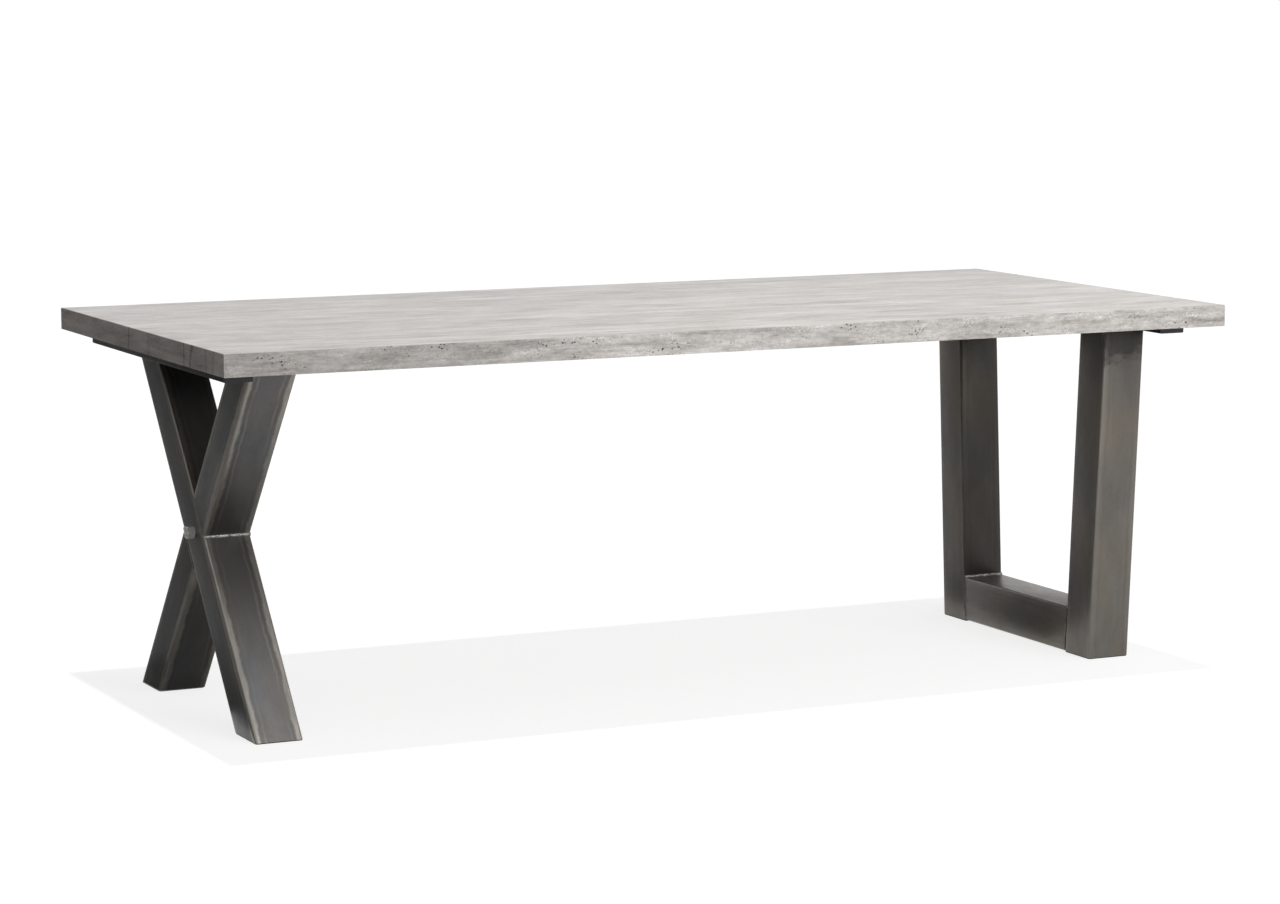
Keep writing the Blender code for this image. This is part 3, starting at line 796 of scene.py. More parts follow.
def backing_material():
    """Plain paper under the top, with pressed fibres and faint rub marks."""
    material, graph, shader = start_material("Backing Paper", 0.68, 0.0, 0.35)
    place = object_place(graph)
    fibre = graph.noise(place, (0.012, 0.0015, 0.0015), detail=4.0, roughness=0.65)
    cloud = graph.noise(place, (0.300, 0.200, 0.100), detail=4.0, roughness=0.6)
    marks = graph.noise(place, (0.350, 0.004, 0.004), detail=3.0)
    tone = graph.add_up(
        1.0,
        graph.spread(fibre, 0.3, 0.7, -0.06, 0.06),
        graph.spread(cloud, 0.3, 0.7, -0.07, 0.07),
        graph.spread(marks, 0.60, 0.75, 0.0, 0.06),
    )
    colour = graph.shaded(colours().backing, tone)
    wire_shader(graph, shader, colour, graph.spread(cloud, 0.3, 0.7, 0.60, 0.75), fibre, 0.00015)
    return material


MATERIALS = {}


def build_materials():
    """The finishes that don't depend on one tube's place."""
    shade = colours()
    MATERIALS["top"] = concrete_material(
        "Concrete Top", shade.decor, "X", streaks=3.0, patches=1.10, pits=0.08, grit=0.04
    )
    # Long bands: darker towards the left end, a painted shade.
    MATERIALS["edge"] = concrete_material(
        "Concrete Edge",
        shade.edge,
        "X",
        streaks=2.3,
        patches=2.9,
        pits=1.00,
        grit=0.60,
        shift=(1.3, 0, 0),
        left_painted_shade=0.78,
    )
    # Short bands: their darker tone is partly painted shade.
    MATERIALS["end"] = concrete_material(
        "Concrete End",
        shade.end,
        "Y",
        streaks=2.2,
        patches=2.6,
        pits=0.60,
        grit=0.20,
        cracks=0.45,
        shift=(0.3, 0.2, 0.0),
    )
    MATERIALS["weld"] = weld_material()
    MATERIALS["seam"] = seam_material()
    MATERIALS["chip"] = chipboard_material()
    MATERIALS["backing"] = backing_material()
    plate_tone = tuple(0.6 * part for part in shade.steel)
    grained = (
        ("zinc", "Zinc Plate", shade.zinc, 0.0016, 0.28, 0.45, 0.06, 0.00010, 0.5),
        ("paint", "Powder Coat", shade.paint, 0.0018, 0.42, 0.0, 0.03, 0.00022, 0.22),
        ("plastic", "Moulded Plastic", shade.plastic, 0.0008, 0.55, 0.0, 0.06, 0.00012, 0.5),
        ("nylon", "Nylon", shade.nylon, 0.0011, 0.42, 0.0, 0.05, 0.00008, 0.5),
        ("plate", "Plate Steel", plate_tone, 0.0024, 0.45, 0.6, 0.05, 0.00018, 0.5),
    )
    for key, name, tone, spot, gloss, metallic, dust, depth, specular in grained:
        MATERIALS[key] = grained_material(name, tone, spot, gloss, metallic, dust, depth, specular)


# ---------------------------------------------------------------- top


def build_face_sheet():
    """The printed face: a thin sheet let in between the bands, its rim eased."""
    low, high = CAD_BOX
    band = sizes().band
    face = sizes().face
    sheet_low = (low.x + band, low.y + band, high.z - face)
    sheet_high = (high.x - band, high.y - band, high.z)
    sheet = add_block("top_face", sheet_low, sheet_high)
    start_edit(sheet, "EDGE")
    pick_edges(sheet, lambda edge: edge_middle(edge).z > high.z - face / 2)
    bpy.ops.mesh.bevel(offset=face / 6, segments=2, affect="EDGES")
    end_edit()
    smooth(sheet)
    finish_piece(sheet, MATERIALS["top"], TABLE, ["top_laminate"])


def build_band(side, low, high, out, material):
    """One edge band, with its two outer long edges and its outer corners rounded."""
    band = add_block(f"{side}_edge", low, high)
    middle = (Vector(low) + Vector(high)) / 2

    def outer(edge):
        return (edge_middle(edge) - middle).dot(out) > 0 and edge_way(edge).dot(out) == 0

    start_edit(band, "EDGE")
    pick_edges(band, outer)
    bpy.ops.mesh.bevel(offset=sizes().arris, segments=4, affect="EDGES")
    end_edit()
    smooth(band, 40)
    finish_piece(band, material, TABLE, [f"edge_band_{side}"])


def build_top():
    low, high = CAD_BOX
    thick = sizes().band
    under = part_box("edge_band_front")[0].z
    build_face_sheet()
    for side, way in ACROSS:
        outer = low.y if way < 0 else high.y
        near, far = sorted((outer, outer - way * thick))
        corners = (low.x, near, under), (high.x, far, high.z)
        build_band(side, *corners, ALONG_Y * way, MATERIALS["edge"])
    for side, way in LENGTHWISE:
        outer = low.x if way < 0 else high.x
        near, far = sorted((outer, outer - way * thick))
        corners = (near, low.y + thick, under), (far, high.y - thick, high.z)
        build_band(side, *corners, ALONG_X * way, MATERIALS["end"])
    dress_node("top_core", MATERIALS["chip"])
    dress_node("top_backing", MATERIALS["backing"])


# ---------------------------------------------------------------- tubes


def build_tube(name, middle, turn, section, cuts):
    """A square tube along its own Z: long corners rounded, ends cut in planes, wall given inwards.

    The section is (depth, width, wall, corner), and each cut is a point and a normal that points
    away from the tube."""
    depth, width, wall, corner = section
    along = Euler(turn).to_matrix() @ ALONG_Z
    reach = max(abs((point - middle).dot(normal) / along.dot(normal)) for point, normal in cuts)
    bpy.ops.object.select_all(action="DESELECT")
    bpy.ops.mesh.primitive_cube_add(
        size=1, location=middle, rotation=turn, scale=(depth, width, 2 * reach + 4 * max(depth, width))
    )
    tube = bpy.context.active_object
    tube.name = name
    apply_place(tube)
    start_edit(tube, "EDGE")
    pick_edges(tube, lambda edge: abs(edge_way(edge).dot(along)) > 0.99)
    bpy.ops.mesh.bevel(offset=corner, segments=6, affect="EDGES")
    for point, normal in cuts:
        bpy.ops.mesh.select_all(action="SELECT")
        bpy.ops.mesh.bisect(plane_co=point, plane_no=normal, clear_outer=True)
    end_edit()
    apply_modifier(tube, "SOLIDIFY", thickness=wall, offset=-1, use_even_offset=True, use_rim=True)
    soften(tube, sizes().rim, angle=60)
    smooth(tube, 40)
    return tube


def leg_section(width):
    depth = size_of("x_leg_through_tube").x
    return depth, width, sizes().leg_wall, sizes().leg_corner


def build_leg_tube(name, node, middle, lean, width, cuts, **finish):
    """A leg tube that stands for a node of the frame, and the finish that is laid along it."""
    section = leg_section(width)
    tube = build_tube(name, middle, (-lean, 0, 0), section, cuts)
    material = tube_material(f"Steel {name}", middle, lean, section, **finish)
    finish_piece(tube, material, TABLE, [node])


def level_cuts(node):
    """The two level planes where a tube that stands on the floor ends."""
    low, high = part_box(node)
    return [(Vector((0, 0, low.z)), -ALONG_Z), (Vector((0, 0, high.z)), ALONG_Z)]


# ---------------------------------------------------------------- welds

BEAD_SIDES = 14
BEAD_STEP = 0.0022
LUMP_SIZE = 0.0045
SEAM_RISE = 0.07


def build_bead(name, middle, along, out, length, width, height, material, rough, replaced=()):
    """A weld bead: a flattened bar, divided along its length, pinched at its ends and roughened."""
    bead = add_round(name, 0, 0.5, 1.0, BEAD_SIDES)
    bead.scale = (2 * height, width, length)
    apply_place(bead)
    start_edit(bead, "EDGE")
    pick_edges(bead, lambda edge: abs(edge_way(edge).z) > 0.99)
    bpy.ops.mesh.subdivide(number_cuts=max(8, int(length / BEAD_STEP)))
    end_edit()
    soften(bead, min(height, width) * 0.35, segments=3, angle=70)
    side = along.cross(out).normalized()
    bead.matrix_world = Matrix.Translation(middle) @ Matrix((out, side, along)).transposed().to_4x4()
    apply_place(bead)
    texture = bpy.data.textures.new(f"{name}_lumps", "CLOUDS")
    texture.noise_scale = LUMP_SIZE
    texture.noise_depth = 2
    apply_modifier(
        bead,
        "DISPLACE",
        texture=texture,
        texture_coords="LOCAL",
        strength=rough * height,
        mid_level=0.5,
    )
    smooth(bead, 60)
    finish_piece(bead, material, TABLE, replaced)


def build_weld(name, middle, out, length, rise, replaced=()):
    """A bright bead across a leg, whose half height is a share of its width."""
    width = sizes().bead
    bright = MATERIALS["weld"]
    build_bead(name, middle, ALONG_X, out, length, width, width * rise, bright, 0.5, replaced)


def build_seam(name, middle, along, out, length):
    """A weld that is ground almost flush with the steel beside it."""
    width = sizes().seam
    build_bead(name, middle, along, out, length, width, width * SEAM_RISE, MATERIALS["seam"], 0.9)


def build_crossing_welds(middle, lean, width):
    """Beads in the four creases of the crossing, and ground seams across both of its broad sides."""
    depth = size_of("x_leg_through_tube").x
    waist = width / math.cos(lean) / 2
    crotch = width / math.sin(lean) / 2
    slant = width / math.sin(2 * lean)
    length = depth - 2 * sizes().rim
    for side, way in ACROSS:
        out = ALONG_Y * way
        node = f"x_leg_weld_{side}"
        build_weld(f"x_leg_bead_{side}", middle + out * waist, out, length, 0.42, [node])
    for side, way in UPRIGHT:
        out = ALONG_Z * way
        build_weld(f"x_leg_crotch_weld_{side}", middle + out * crotch, out, length, 0.5)
    for side, way in UPRIGHT:
        for face, face_way in (("outer", -1), ("inner", 1)):
            out = ALONG_X * face_way
            place = middle + leaning(-lean) * way * slant / 2 + out * depth / 2
            seam_length = slant - 2 * sizes().leg_corner
            build_seam(f"x_leg_seam_{side}_{face}", place, leaning(lean), out, seam_length)


# ---------------------------------------------------------------- X leg

# Strength of the corner bands and lines, partly rubbed mill skin and partly painted corner highlight, and
# the far arm's share above the crossing.
X_WEAR_AND_HIGHLIGHT = 1.0
FAR_ARM_WEAR_AND_HIGHLIGHT = 0.4


def build_x_leg():
    """A tube through the crossing and two half tubes cut against its sides."""
    node = "x_leg_through_tube"
    width = sizes().x_tube_width
    lean = arm_lean(node, width)
    middle = middle_of(node)
    level = level_cuts(node)
    finish = {"tone": colours().steel, "wear": X_WEAR_AND_HIGHLIGHT}
    build_leg_tube(
        "x_leg_through", node, middle, lean, width, level, top_wear=FAR_ARM_WEAR_AND_HIGHLIGHT, **finish
    )
    across = ALONG_X.cross(leaning(lean))
    for name, way in UPRIGHT:
        normal = across if across.z * way > 0 else -across
        against = (middle + normal * width / 2, -normal)
        end = level[1] if way > 0 else level[0]
        node = f"x_leg_{name}_tube"
        build_leg_tube(f"x_leg_{name}", node, middle, -lean, width, [against, end], **finish)
    build_crossing_welds(middle, lean, width)


# ---------------------------------------------------------------- U leg

# Strength of the U tubes' corner bands and lines, partly rubbed mill skin and partly painted corner
# highlight.
U_WEAR_AND_HIGHLIGHT = 0.25
# Heights above which the tubes' across-facing sides carry painted shade: the front tube near the top, the
# back tube over its whole side.
PAINTED_SHADE_FROM = {"front": 0.650, "back": 0.0}


def build_u_leg():
    """Two tubes that splay outwards to the top, and a beam between their feet."""
    width = sizes().u_tube_width
    finish = {"tone": colours().warm_steel, "wear": U_WEAR_AND_HIGHLIGHT}
    beam_cuts = []
    for side, way in ACROSS:
        node = f"u_leg_{side}_tube"
        lean = arm_lean(node, width) * way
        middle = middle_of(node)
        cuts = level_cuts(node)
        name = f"u_leg_{side}"
        build_leg_tube(name, node, middle, lean, width, cuts, dark_from=PAINTED_SHADE_FROM[side], **finish)
        inward = ALONG_X.cross(leaning(lean))
        inward = inward if inward.y * way < 0 else -inward
        beam_cuts.append((middle + inward * width / 2, -inward))
    node = "u_leg_beam"
    middle = middle_of(node)
    build_leg_tube("u_leg_cross_beam", node, middle, -QUARTER, width, beam_cuts, **finish)
    build_beam_welds(middle, beam_cuts, leg_section(width)[0], width)


def build_beam_welds(middle, cuts, depth, width):
    """A bead on top of each beam end, and ground seams down both broad sides."""
    top = middle.z + width / 2
    for (side, way), (point, normal) in zip(ACROSS, cuts):

        def end_at(height):
            return point.y - (height - point.z) * normal.z / normal.y

        place = Vector((middle.x, end_at(top), top))
        out = (ALONG_Z - ALONG_Y * way).normalized()
        build_weld(f"u_leg_weld_{side}", place, out, depth - 4 * sizes().rim, 0.5)
        down = ALONG_X.cross(normal).normalized()
        for face, face_way in (("outer", 1), ("inner", -1)):
            place = Vector((middle.x + face_way * depth / 2, end_at(middle.z), middle.z))
            seam_length = width - 2 * sizes().leg_corner
            build_seam(f"u_leg_seam_{side}_{face}", place, down, ALONG_X * face_way, seam_length)


# ---------------------------------------------------------------- fasteners


def hexagon(name, flats, height, crown):
    """A hexagon block up from the origin, with its crown turned down to a chamfer at one end."""
    radius = flats / math.sqrt(3)
    block = add_round(name, height / 2, radius, height, 6)
    turned = add_round(f"{name}_turned", height / 2, radius * 1.02, height, 48)
    start_edit(turned, "EDGE")
    pick_edges(turned, lambda edge: edge_middle(edge).z > height * 0.99)
    bpy.ops.mesh.bevel(offset=crown, segments=1, affect="EDGES")
    end_edit()
    combine(block, turned, "INTERSECT")
    return block


def build_bolt_model(name, flats, head, shank_radius, shank_length, washer_radius, washer):
    """A bolt from the origin: shank down, washer and head up, with a dished crown."""
    bolt = hexagon(name, flats, head, flats * 0.06)
    start_edit(bolt, "FACE")
    pick_faces(bolt, lambda face: face.normal.z > 0.99)
    bpy.ops.mesh.inset(thickness=flats * 0.22)
    bpy.ops.transform.translate(value=(0, 0, -head * 0.10))
    end_edit()
    disc = add_round(f"{name}_disc", washer / 2, washer_radius, washer, 40)
    soften(disc, washer * 0.25)
    combine(bolt, disc, "UNION")
    shank = add_round(f"{name}_shank", -shank_length / 2, shank_radius, shank_length, 24)
    shank.location.z = washer / 2
    apply_place(shank)
    soften(shank, shank_radius * 0.22)
    combine(bolt, shank, "UNION")
    smooth(bolt, 32)
    return bolt


def build_leg_bolts():
    """One bolt with a washer, copied to every hole of the legs' plates."""
    flats, head = 0.013, 0.005
    shank_radius = 0.004
    washer_radius, washer = 0.0085, 0.0009
    nodes = sorted(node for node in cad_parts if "_leg_" in node and "_bolt_" in node)
    shank = size_of(nodes[0]).z - head
    model = build_bolt_model(
        "leg_bolt", flats, head, shank_radius, shank, washer_radius, washer
    )
    model.rotation_euler = (math.pi, 0, 0)
    apply_place(model)
    for node in nodes:
        place = middle_of(node)
        place.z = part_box(node)[0].z + head
        bolt = copied(model, node + "_set", place)
        finish_piece(bolt, MATERIALS["zinc"], TABLE, [node])
    bpy.data.objects.remove(model, do_unlink=True)


def stand_on_leg(piece, turn, face, node):
    """Turns a bolt or nut to lie through the crossing, at a face of the through tube."""
    middle = middle_of("crossing_bolt")
    piece.rotation_euler = (0, turn, 0)
    piece.location = (face, middle.y, middle.z)
    apply_place(piece)
    finish_piece(piece, MATERIALS["zinc"], TABLE, [node])


def build_crossing_bolt():
    """The bolt through the crossing and the nut on its end."""
    low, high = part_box("crossing_bolt")
    nut_low, nut_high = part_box("crossing_nut")
    through_low, through_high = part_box("x_leg_through_tube")
    flats = min(nut_high.z - nut_low.z, nut_high.y - nut_low.y)
    head = high.x - through_high.x
    radius = flats / 3
    shank = through_high.x - low.x
    bolt = build_bolt_model(
        "crossing_bolt_set", flats, head, radius, shank, flats * 0.62, head * 0.18
    )
    stand_on_leg(bolt, QUARTER, through_high.x, "crossing_bolt")

    height = through_low.x - nut_low.x
    nut = hexagon("crossing_nut_set", flats, height, flats * 0.07)
    bore = add_round("nut_bore", height / 2, radius * 1.03, height * 2, 40)
    combine(nut, bore, "DIFFERENCE")

    def mouth(edge):
        middle = edge_middle(edge)
        return middle.z > height * 0.99 and middle.xy.length < radius * 1.05

    start_edit(nut, "EDGE")
    pick_edges(nut, mouth)
    bpy.ops.mesh.bevel(offset=flats * 0.03, segments=2, affect="EDGES")
    end_edit()
    smooth(nut, 32)
    stand_on_leg(nut, -QUARTER, through_low.x, "crossing_nut")


def build_channel_screws():
    """One countersunk screw head with a cross recess, copied along every channel."""
    radius = sizes().screw_head / 2
    proud = 0.00005
    deep = 0.0016
    model = add_round("channel_screw", deep / 2, radius, deep, 28, radius * 0.55)
    arm, half_slot = radius * 0.6, radius * 0.11
    for turn in (0, QUARTER):
        corners = (-arm, -half_slot, -deep), (arm, half_slot, deep * 0.6)
        blade = add_block("screw_slot", *corners)
        blade.rotation_euler = (0, 0, turn)
        apply_place(blade)
        combine(model, blade, "DIFFERENCE")
    soften(model, 0.0001, segments=1)
    smooth(model)
    count = sizes().screws
    wall = 0.002
    inset = 0.05
    for node in sorted(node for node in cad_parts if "_channel_" in node):
        low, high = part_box(node)
        for index in range(count):
            along = low.x + inset + (high.x - low.x - 2 * inset) * index / (count - 1)
            place = (along, (low.y + high.y) / 2, high.z - wall - proud)
            screw = copied(model, f"{node}_screw_{index + 1}", place)
            finish_piece(screw, MATERIALS["zinc"], TABLE)
    bpy.data.objects.remove(model, do_unlink=True)


# ---------------------------------------------------------------- bearers

SPIGOT = 0.018


def build_bar(name, node, body, turn, axis):
    """A painted tube of a bearer between the ends of its node."""
    low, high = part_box(node)
    size = high - low
    section = (size.x, size.z) if axis == ALONG_Y else (size.z, size.y)
    section = (*section, sizes().bar_wall, sizes().bar_corner)
    cuts = [(low, -axis), (high, axis)]
    tube = build_tube(name, (low + high) / 2, turn, section, cuts)
    finish_piece(tube, MATERIALS["paint"], body, [node])


def build_plug(node, body, way):
    """A moulded end plug: a domed flange over the bar's end and a plug inside it."""
    low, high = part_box(node)
    flange = 0.003
    rim, dish = 0.0012, 0.0001
    play = 0.0004
    outer = high.y if way > 0 else low.y
    near, far = sorted((outer, outer - way * flange))
    plug = add_block(f"{node}_cap", (low.x, near, low.z), (high.x, far, high.z))
    start_edit(plug, "EDGE")
    pick_edges(plug, lambda edge: abs(edge_way(edge).y) > 0.99)
    bpy.ops.mesh.bevel(offset=sizes().bar_corner, segments=5, affect="EDGES")
    pick_faces(plug, lambda face: face.normal.y * way > 0.99)
    bpy.ops.mesh.inset(thickness=rim)
    bpy.ops.transform.translate(value=(0, -way * dish, 0))
    pick_faces(plug, lambda face: face.normal.y * way < -0.99)
    bpy.ops.mesh.inset(thickness=sizes().bar_wall + play)
    bpy.ops.mesh.extrude_region_move(TRANSFORM_OT_translate={"value": (0, -way * SPIGOT, 0)})
    end_edit()
    soften(plug, 0.0006, segments=2)
    smooth(plug)
    finish_piece(plug, MATERIALS["plastic"], body, [node])


def build_shoe(node, body, way):
    """A nylon shoe: a pad with a shallow groove in its broad faces, and its peg in the runner."""
    low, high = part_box(node)
    length = 0.030
    under_screws = 0.0003
    corner = 0.002
    groove_edge, groove = 0.006, 0.0008
    peg_share = (1, 0.80, 0.55)
    inner = low.x if way > 0 else high.x
    near, far = sorted((inner, inner + way * length))
    shoe = add_block(f"{node}_pad", (near, low.y, low.z), (far, high.y, high.z - under_screws))
    start_edit(shoe, "EDGE")
    pick_edges(shoe, lambda edge: abs(edge_way(edge).x) > 0.99)
    bpy.ops.mesh.bevel(offset=corner, segments=4, affect="EDGES")
    pick_faces(shoe, lambda face: abs(face.normal.z) > 0.99)
    bpy.ops.mesh.inset(thickness=groove_edge, use_individual=True)
    bpy.ops.mesh.extrude_region_shrink_fatten(TRANSFORM_OT_shrink_fatten={"value": -groove})
    pick_faces(shoe, lambda face: face.normal.x * way > 0.99)
    bpy.ops.mesh.extrude_region_move(TRANSFORM_OT_translate={"value": (0, 0, 0)})
    end = (far if way > 0 else near, (low.y + high.y) / 2, (low.z + high.z) / 2)
    bpy.ops.transform.resize(value=peg_share, center_override=end)
    bpy.ops.mesh.extrude_region_move(TRANSFORM_OT_translate={"value": (way * SPIGOT, 0, 0)})
    end_edit()
    soften(shoe, 0.0004, segments=2)
    smooth(shoe)
    finish_piece(shoe, MATERIALS["nylon"], body, [node])


def build_bearer(side, way):
    """A bearer's bar with its plugs, and its two runners with their shoes."""
    body = f"{side}_bearer"
    build_bar(f"{side}_cross_bar", f"{side}_bearer_bar", body, (QUARTER, 0, 0), ALONG_Y)
    for place, end in ACROSS:
        build_plug(f"{side}_bearer_plug_{place}", body, end)
        runner = f"{side}_runner_{place}"
        build_bar(f"{runner}_tube", runner, body, (0, QUARTER, 0), ALONG_X)
        build_shoe(f"{runner}_shoe", body, way)


# ---------------------------------------------------------------- stage

OPEN_FLOOR_LIGHT = 0.64
BRIGHT_WAY = (0.66, -0.56, 0.50)
OVERHEAD_HEIGHT = 4.0
OVERHEAD_ANGLE = 1.2
KEY_PLACE = (1.3, -4.2, 2.2)
KEY_AIM = (0.4, 0, 0.5)
KEY_SIZE = (3.6, 2.4)
CARD_LIFT = 0.003
CARD_EDGE = 0.001


def build_floor():
    """A plain white floor that shows the table's shadow, and isn't seen from below.

    What shows is white less the share that the light on the floor gives back."""
    setting = stage()
    bpy.ops.object.select_all(action="DESELECT")
    bpy.ops.mesh.primitive_plane_add(size=setting.floor_size, location=(0, 0, 0))
    floor = bpy.context.active_object
    floor.name = "studio_floor"
    material = bpy.data.materials.new("Studio Floor")
    material.use_nodes = True
    graph = Graph(material.node_tree)
    graph.tree.nodes.remove(graph.tree.nodes["Principled BSDF"])
    white = graph.add("ShaderNodeEmission")
    white.inputs["Strength"].default_value = 1.0 - setting.shadow * OPEN_FLOOR_LIGHT
    shadowed = graph.add("ShaderNodeBsdfDiffuse")
    shadowed.inputs["Color"].default_value = opaque([setting.shadow] * 3)
    thrown = graph.add("ShaderNodeBsdfDiffuse")
    thrown.inputs["Color"].default_value = opaque(setting.floor_tone)
    shown = graph.add("ShaderNodeAddShader")
    graph.feed(shown.inputs[0], white.outputs[0])
    graph.feed(shown.inputs[1], shadowed.outputs[0])
    clear = graph.add("ShaderNodeBsdfTransparent")
    backfacing = graph.add("ShaderNodeNewGeometry").outputs["Backfacing"]
    either = graph.mix_shaders(seen_rays(graph), thrown, shown)
    sided = graph.mix_shaders(backfacing, either, clear)
    graph.feed(graph.tree.nodes["Material Output"].inputs["Surface"], sided.outputs[0])
    floor.data.materials.append(material)


def build_studio_light():
    """Soft light all round, dim from the left and bright from the front and right."""
    setting = stage()
    world = bpy.data.worlds.new("Studio")
    bpy.context.scene.world = world
    world.use_nodes = True
    graph = Graph(world.node_tree)
    background = world.node_tree.nodes["Background"]
    toward = graph.add("ShaderNodeVectorMath", operation="DOT_PRODUCT")
    graph.feed(toward.inputs[0], graph.add("ShaderNodeTexCoord").outputs["Generated"])
    toward.inputs[1].default_value = Vector(BRIGHT_WAY).normalized()
    soft = graph.spread(toward.outputs["Value"], -0.7, 1.0, setting.sky_low, setting.sky_high)
    strength = graph.add("ShaderNodeMix", data_type="FLOAT")
    graph.feed(strength.inputs[0], seen_rays(graph))
    graph.feed(strength.inputs[2], soft)
    graph.feed(strength.inputs[3], 1.0)
    background.inputs["Color"].default_value = (1.0, 1.0, 1.0, 1.0)
    graph.feed(background.inputs["Strength"], strength.outputs[0])


def build_lamps():
    """A light straight overhead, and a large soft one at the front."""
    setting = stage()
    bpy.ops.object.select_all(action="DESELECT")
    bpy.ops.object.light_add(type="SUN", location=(0, 0, OVERHEAD_HEIGHT))
    overhead = bpy.context.active_object
    overhead.name = "overhead_light"
    overhead.data.energy = setting.overhead
    overhead.data.angle = math.radians(OVERHEAD_ANGLE)
    bpy.ops.object.light_add(type="AREA", location=KEY_PLACE)
    key = bpy.context.active_object
    key.name = "front_softbox"
    key.data.energy = setting.key
    key.data.shape = "RECTANGLE"
    key.data.size, key.data.size_y = KEY_SIZE
    aim = Vector(KEY_AIM) - key.location
    key.rotation_euler = aim.to_track_quat("-Z", "Y").to_euler()


def card_material(name, tone):
    """Matt grey board of an even tone."""
    material, _, shader = start_material(name, 1.0, 0.0, 0.0)
    shader["Base Color"].default_value = opaque([tone] * 3)
    return material


def build_card(name, low, high, rise, material):
    """A card on the floor that shows only in gloss, as painted shade in the steel's reflections, its left
    and back edges turned up by rise.
    """
    (left, front), (right, back) = low, high
    middle = ((left + right) / 2, (front + back) / 2, CARD_LIFT)
    bpy.ops.object.select_all(action="DESELECT")
    bpy.ops.mesh.primitive_plane_add(size=1, location=middle)
    card = bpy.context.active_object
    card.name = name
    card.scale = (right - left, back - front, 1)
    apply_place(card)

    def turned_up(edge):
        place = edge_middle(edge)
        return place.x < left + CARD_EDGE or place.y > back - CARD_EDGE

    if rise:
        start_edit(card, "EDGE")
        pick_edges(card, turned_up)
        bpy.ops.mesh.extrude_region_move(TRANSFORM_OT_translate={"value": (0, 0, rise)})
        end_edit()
    card.visible_camera = False
    card.visible_diffuse = False
    card.visible_shadow = False
    card.data.materials.append(material)


def build_painted_shade_cards():
    """A dark card in the dim corner, and a grey one under the table between its legs, where the floor is
    shaded: painted shade, seen only in the steel's reflections.
    """
    dark = card_material("Dark Card", 0.38)
    build_card("corner_card", (-4.05, -1.9), (-1.02, 5.1), 2.6, dark)
    grey = card_material("Grey Card", 0.70)
    build_card("floor_card", (-1.02, -0.1), (0.86, 3.5), 0.0, grey)


def build_camera():
    setting = stage()
    bpy.ops.object.camera_add(location=setting.camera, rotation=setting.camera_turn)
    camera = bpy.context.active_object
    camera.name = "camera"
    camera.data.lens = setting.lens
    camera.data.sensor_width = 36.0
    camera.data.clip_end = 100.0
    bpy.context.scene.camera = camera


# ---------------------------------------------------------------- operators


class MakeFinishes(bpy.types.Operator):
    """Builds the shader groups and the finishes that the pieces share"""

    bl_idname = "dining_table.finishes"
    bl_label = "Finishes"

    def execute(self, context):
        build_groups()
        build_materials()
        return {"FINISHED"}


class MakeTop(bpy.types.Operator):
    """Models the face and the four edge bands of the top"""

    bl_idname = "dining_table.top"
    bl_label = "Top"

    def execute(self, context):
        build_top()
        return {"FINISHED"}


class MakeXLeg(bpy.types.Operator):
    """Models the X leg's tubes and welds"""

    bl_idname = "dining_table.x_leg"
    bl_label = "X Leg"

    def execute(self, context):
        build_x_leg()
        return {"FINISHED"}


class MakeULeg(bpy.types.Operator):
    """Models the U leg's tubes, beam and welds"""

    bl_idname = "dining_table.u_leg"
    bl_label = "U Leg"

    def execute(self, context):
        build_u_leg()
        return {"FINISHED"}


class MakeFasteners(bpy.types.Operator):
    """Models the leg bolts, the crossing's bolt and nut, and the channel screws"""

    bl_idname = "dining_table.fasteners"
    bl_label = "Fasteners"

    def execute(self, context):
        build_leg_bolts()
        build_crossing_bolt()
        build_channel_screws()
        return {"FINISHED"}


class MakeBearers(bpy.types.Operator):
    """Models both pull-out bearers"""

    bl_idname = "dining_table.bearers"
    bl_label = "Bearers"

    def execute(self, context):
        for side, way in LENGTHWISE:
            build_bearer(side, way)
        return {"FINISHED"}


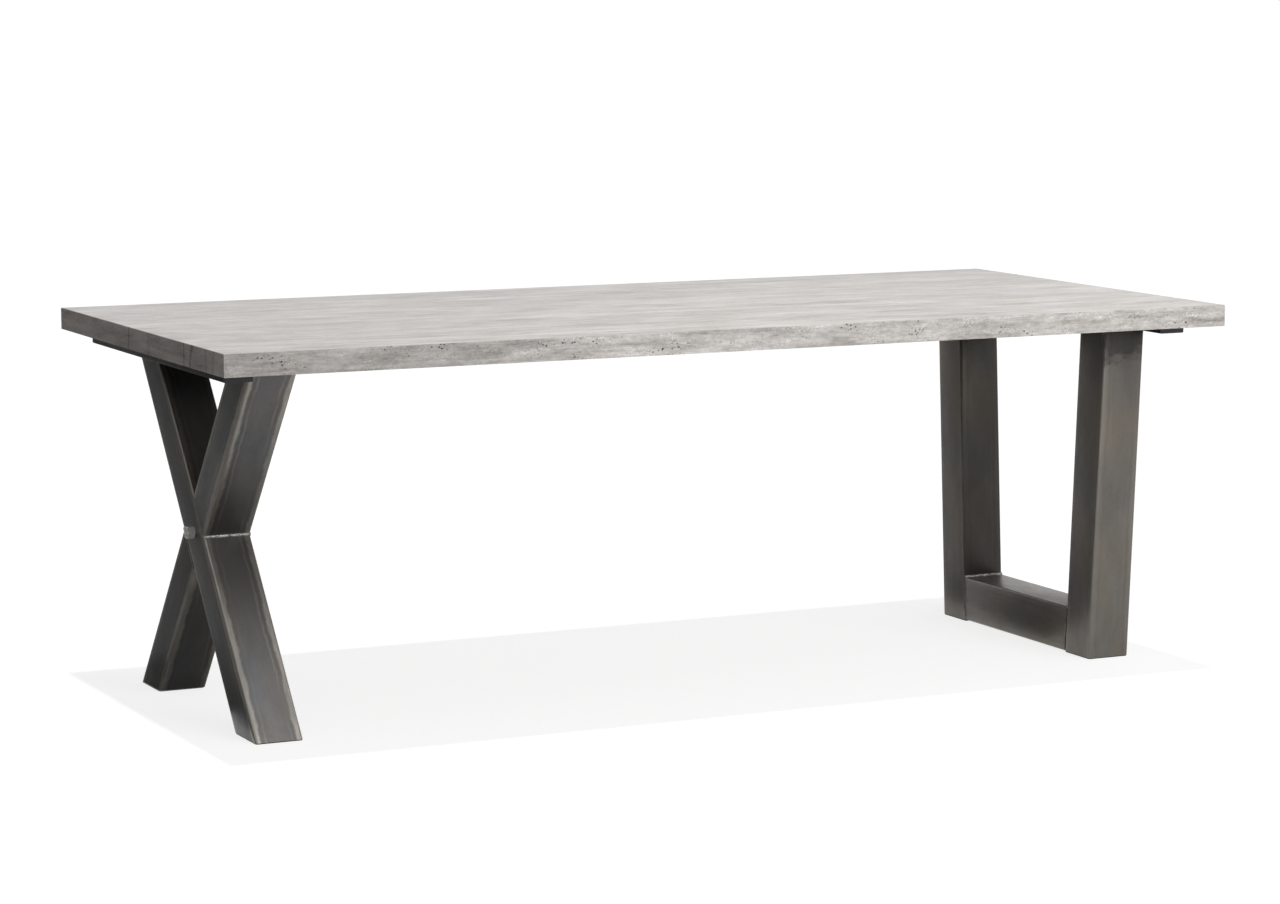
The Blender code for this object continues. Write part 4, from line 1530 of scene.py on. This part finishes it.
class DressFrame(bpy.types.Operator):
    """Finishes the plates, glides and channels, which keep their shape"""

    bl_idname = "dining_table.dress_frame"
    bl_label = "Plates, Glides and Channels"

    def execute(self, context):
        for node in sorted(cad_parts):
            if node.endswith("_plate"):
                dress_node(node, MATERIALS["plate"])
            elif node.endswith("_glide"):
                dress_node(node, MATERIALS["plastic"])
            elif "_channel_" in node:
                dress_node(node, MATERIALS["paint"])
        return {"FINISHED"}


class MakeStage(bpy.types.Operator):
    """Sets up the floor, the light and the camera"""

    bl_idname = "dining_table.stage"
    bl_label = "Stage"

    def execute(self, context):
        context.scene.view_settings.view_transform = "Standard"
        build_floor()
        build_studio_light()
        build_lamps()
        build_painted_shade_cards()
        build_camera()
        return {"FINISHED"}


OPERATORS = (
    MakeFinishes,
    MakeTop,
    MakeXLeg,
    MakeULeg,
    MakeFasteners,
    MakeBearers,
    DressFrame,
    MakeStage,
)


class TablePanel(bpy.types.Panel):
    """Lists the table's settings and steps"""

    bl_idname = "VIEW3D_PT_dining_table"
    bl_label = "Dining Table"
    bl_space_type = "VIEW_3D"
    bl_region_type = "UI"
    bl_category = "Table"

    def draw(self, context):
        scene = context.scene
        for settings in (scene.table_sizes, scene.table_colours, scene.table_stage):
            column = self.layout.column(align=True)
            for setting in settings.__annotations__:
                column.prop(settings, setting)
        for operator in OPERATORS:
            self.layout.operator(operator.bl_idname)


CLASSES = (TableSizes, TableColours, StageSettings, *OPERATORS, TablePanel)


def register():
    for each in CLASSES:
        bpy.utils.register_class(each)
    bpy.types.Scene.table_sizes = PointerProperty(type=TableSizes)
    bpy.types.Scene.table_colours = PointerProperty(type=TableColours)
    bpy.types.Scene.table_stage = PointerProperty(type=StageSettings)


def unregister():
    del bpy.types.Scene.table_stage
    del bpy.types.Scene.table_colours
    del bpy.types.Scene.table_sizes
    for each in reversed(CLASSES):
        bpy.utils.unregister_class(each)


def main():
    register()
    bpy.ops.dining_table.finishes()
    bpy.ops.dining_table.top()
    bpy.ops.dining_table.x_leg()
    bpy.ops.dining_table.u_leg()
    bpy.ops.dining_table.fasteners()
    bpy.ops.dining_table.bearers()
    bpy.ops.dining_table.dress_frame()
    bpy.ops.dining_table.stage()


if __name__ == "__main__":
    main()
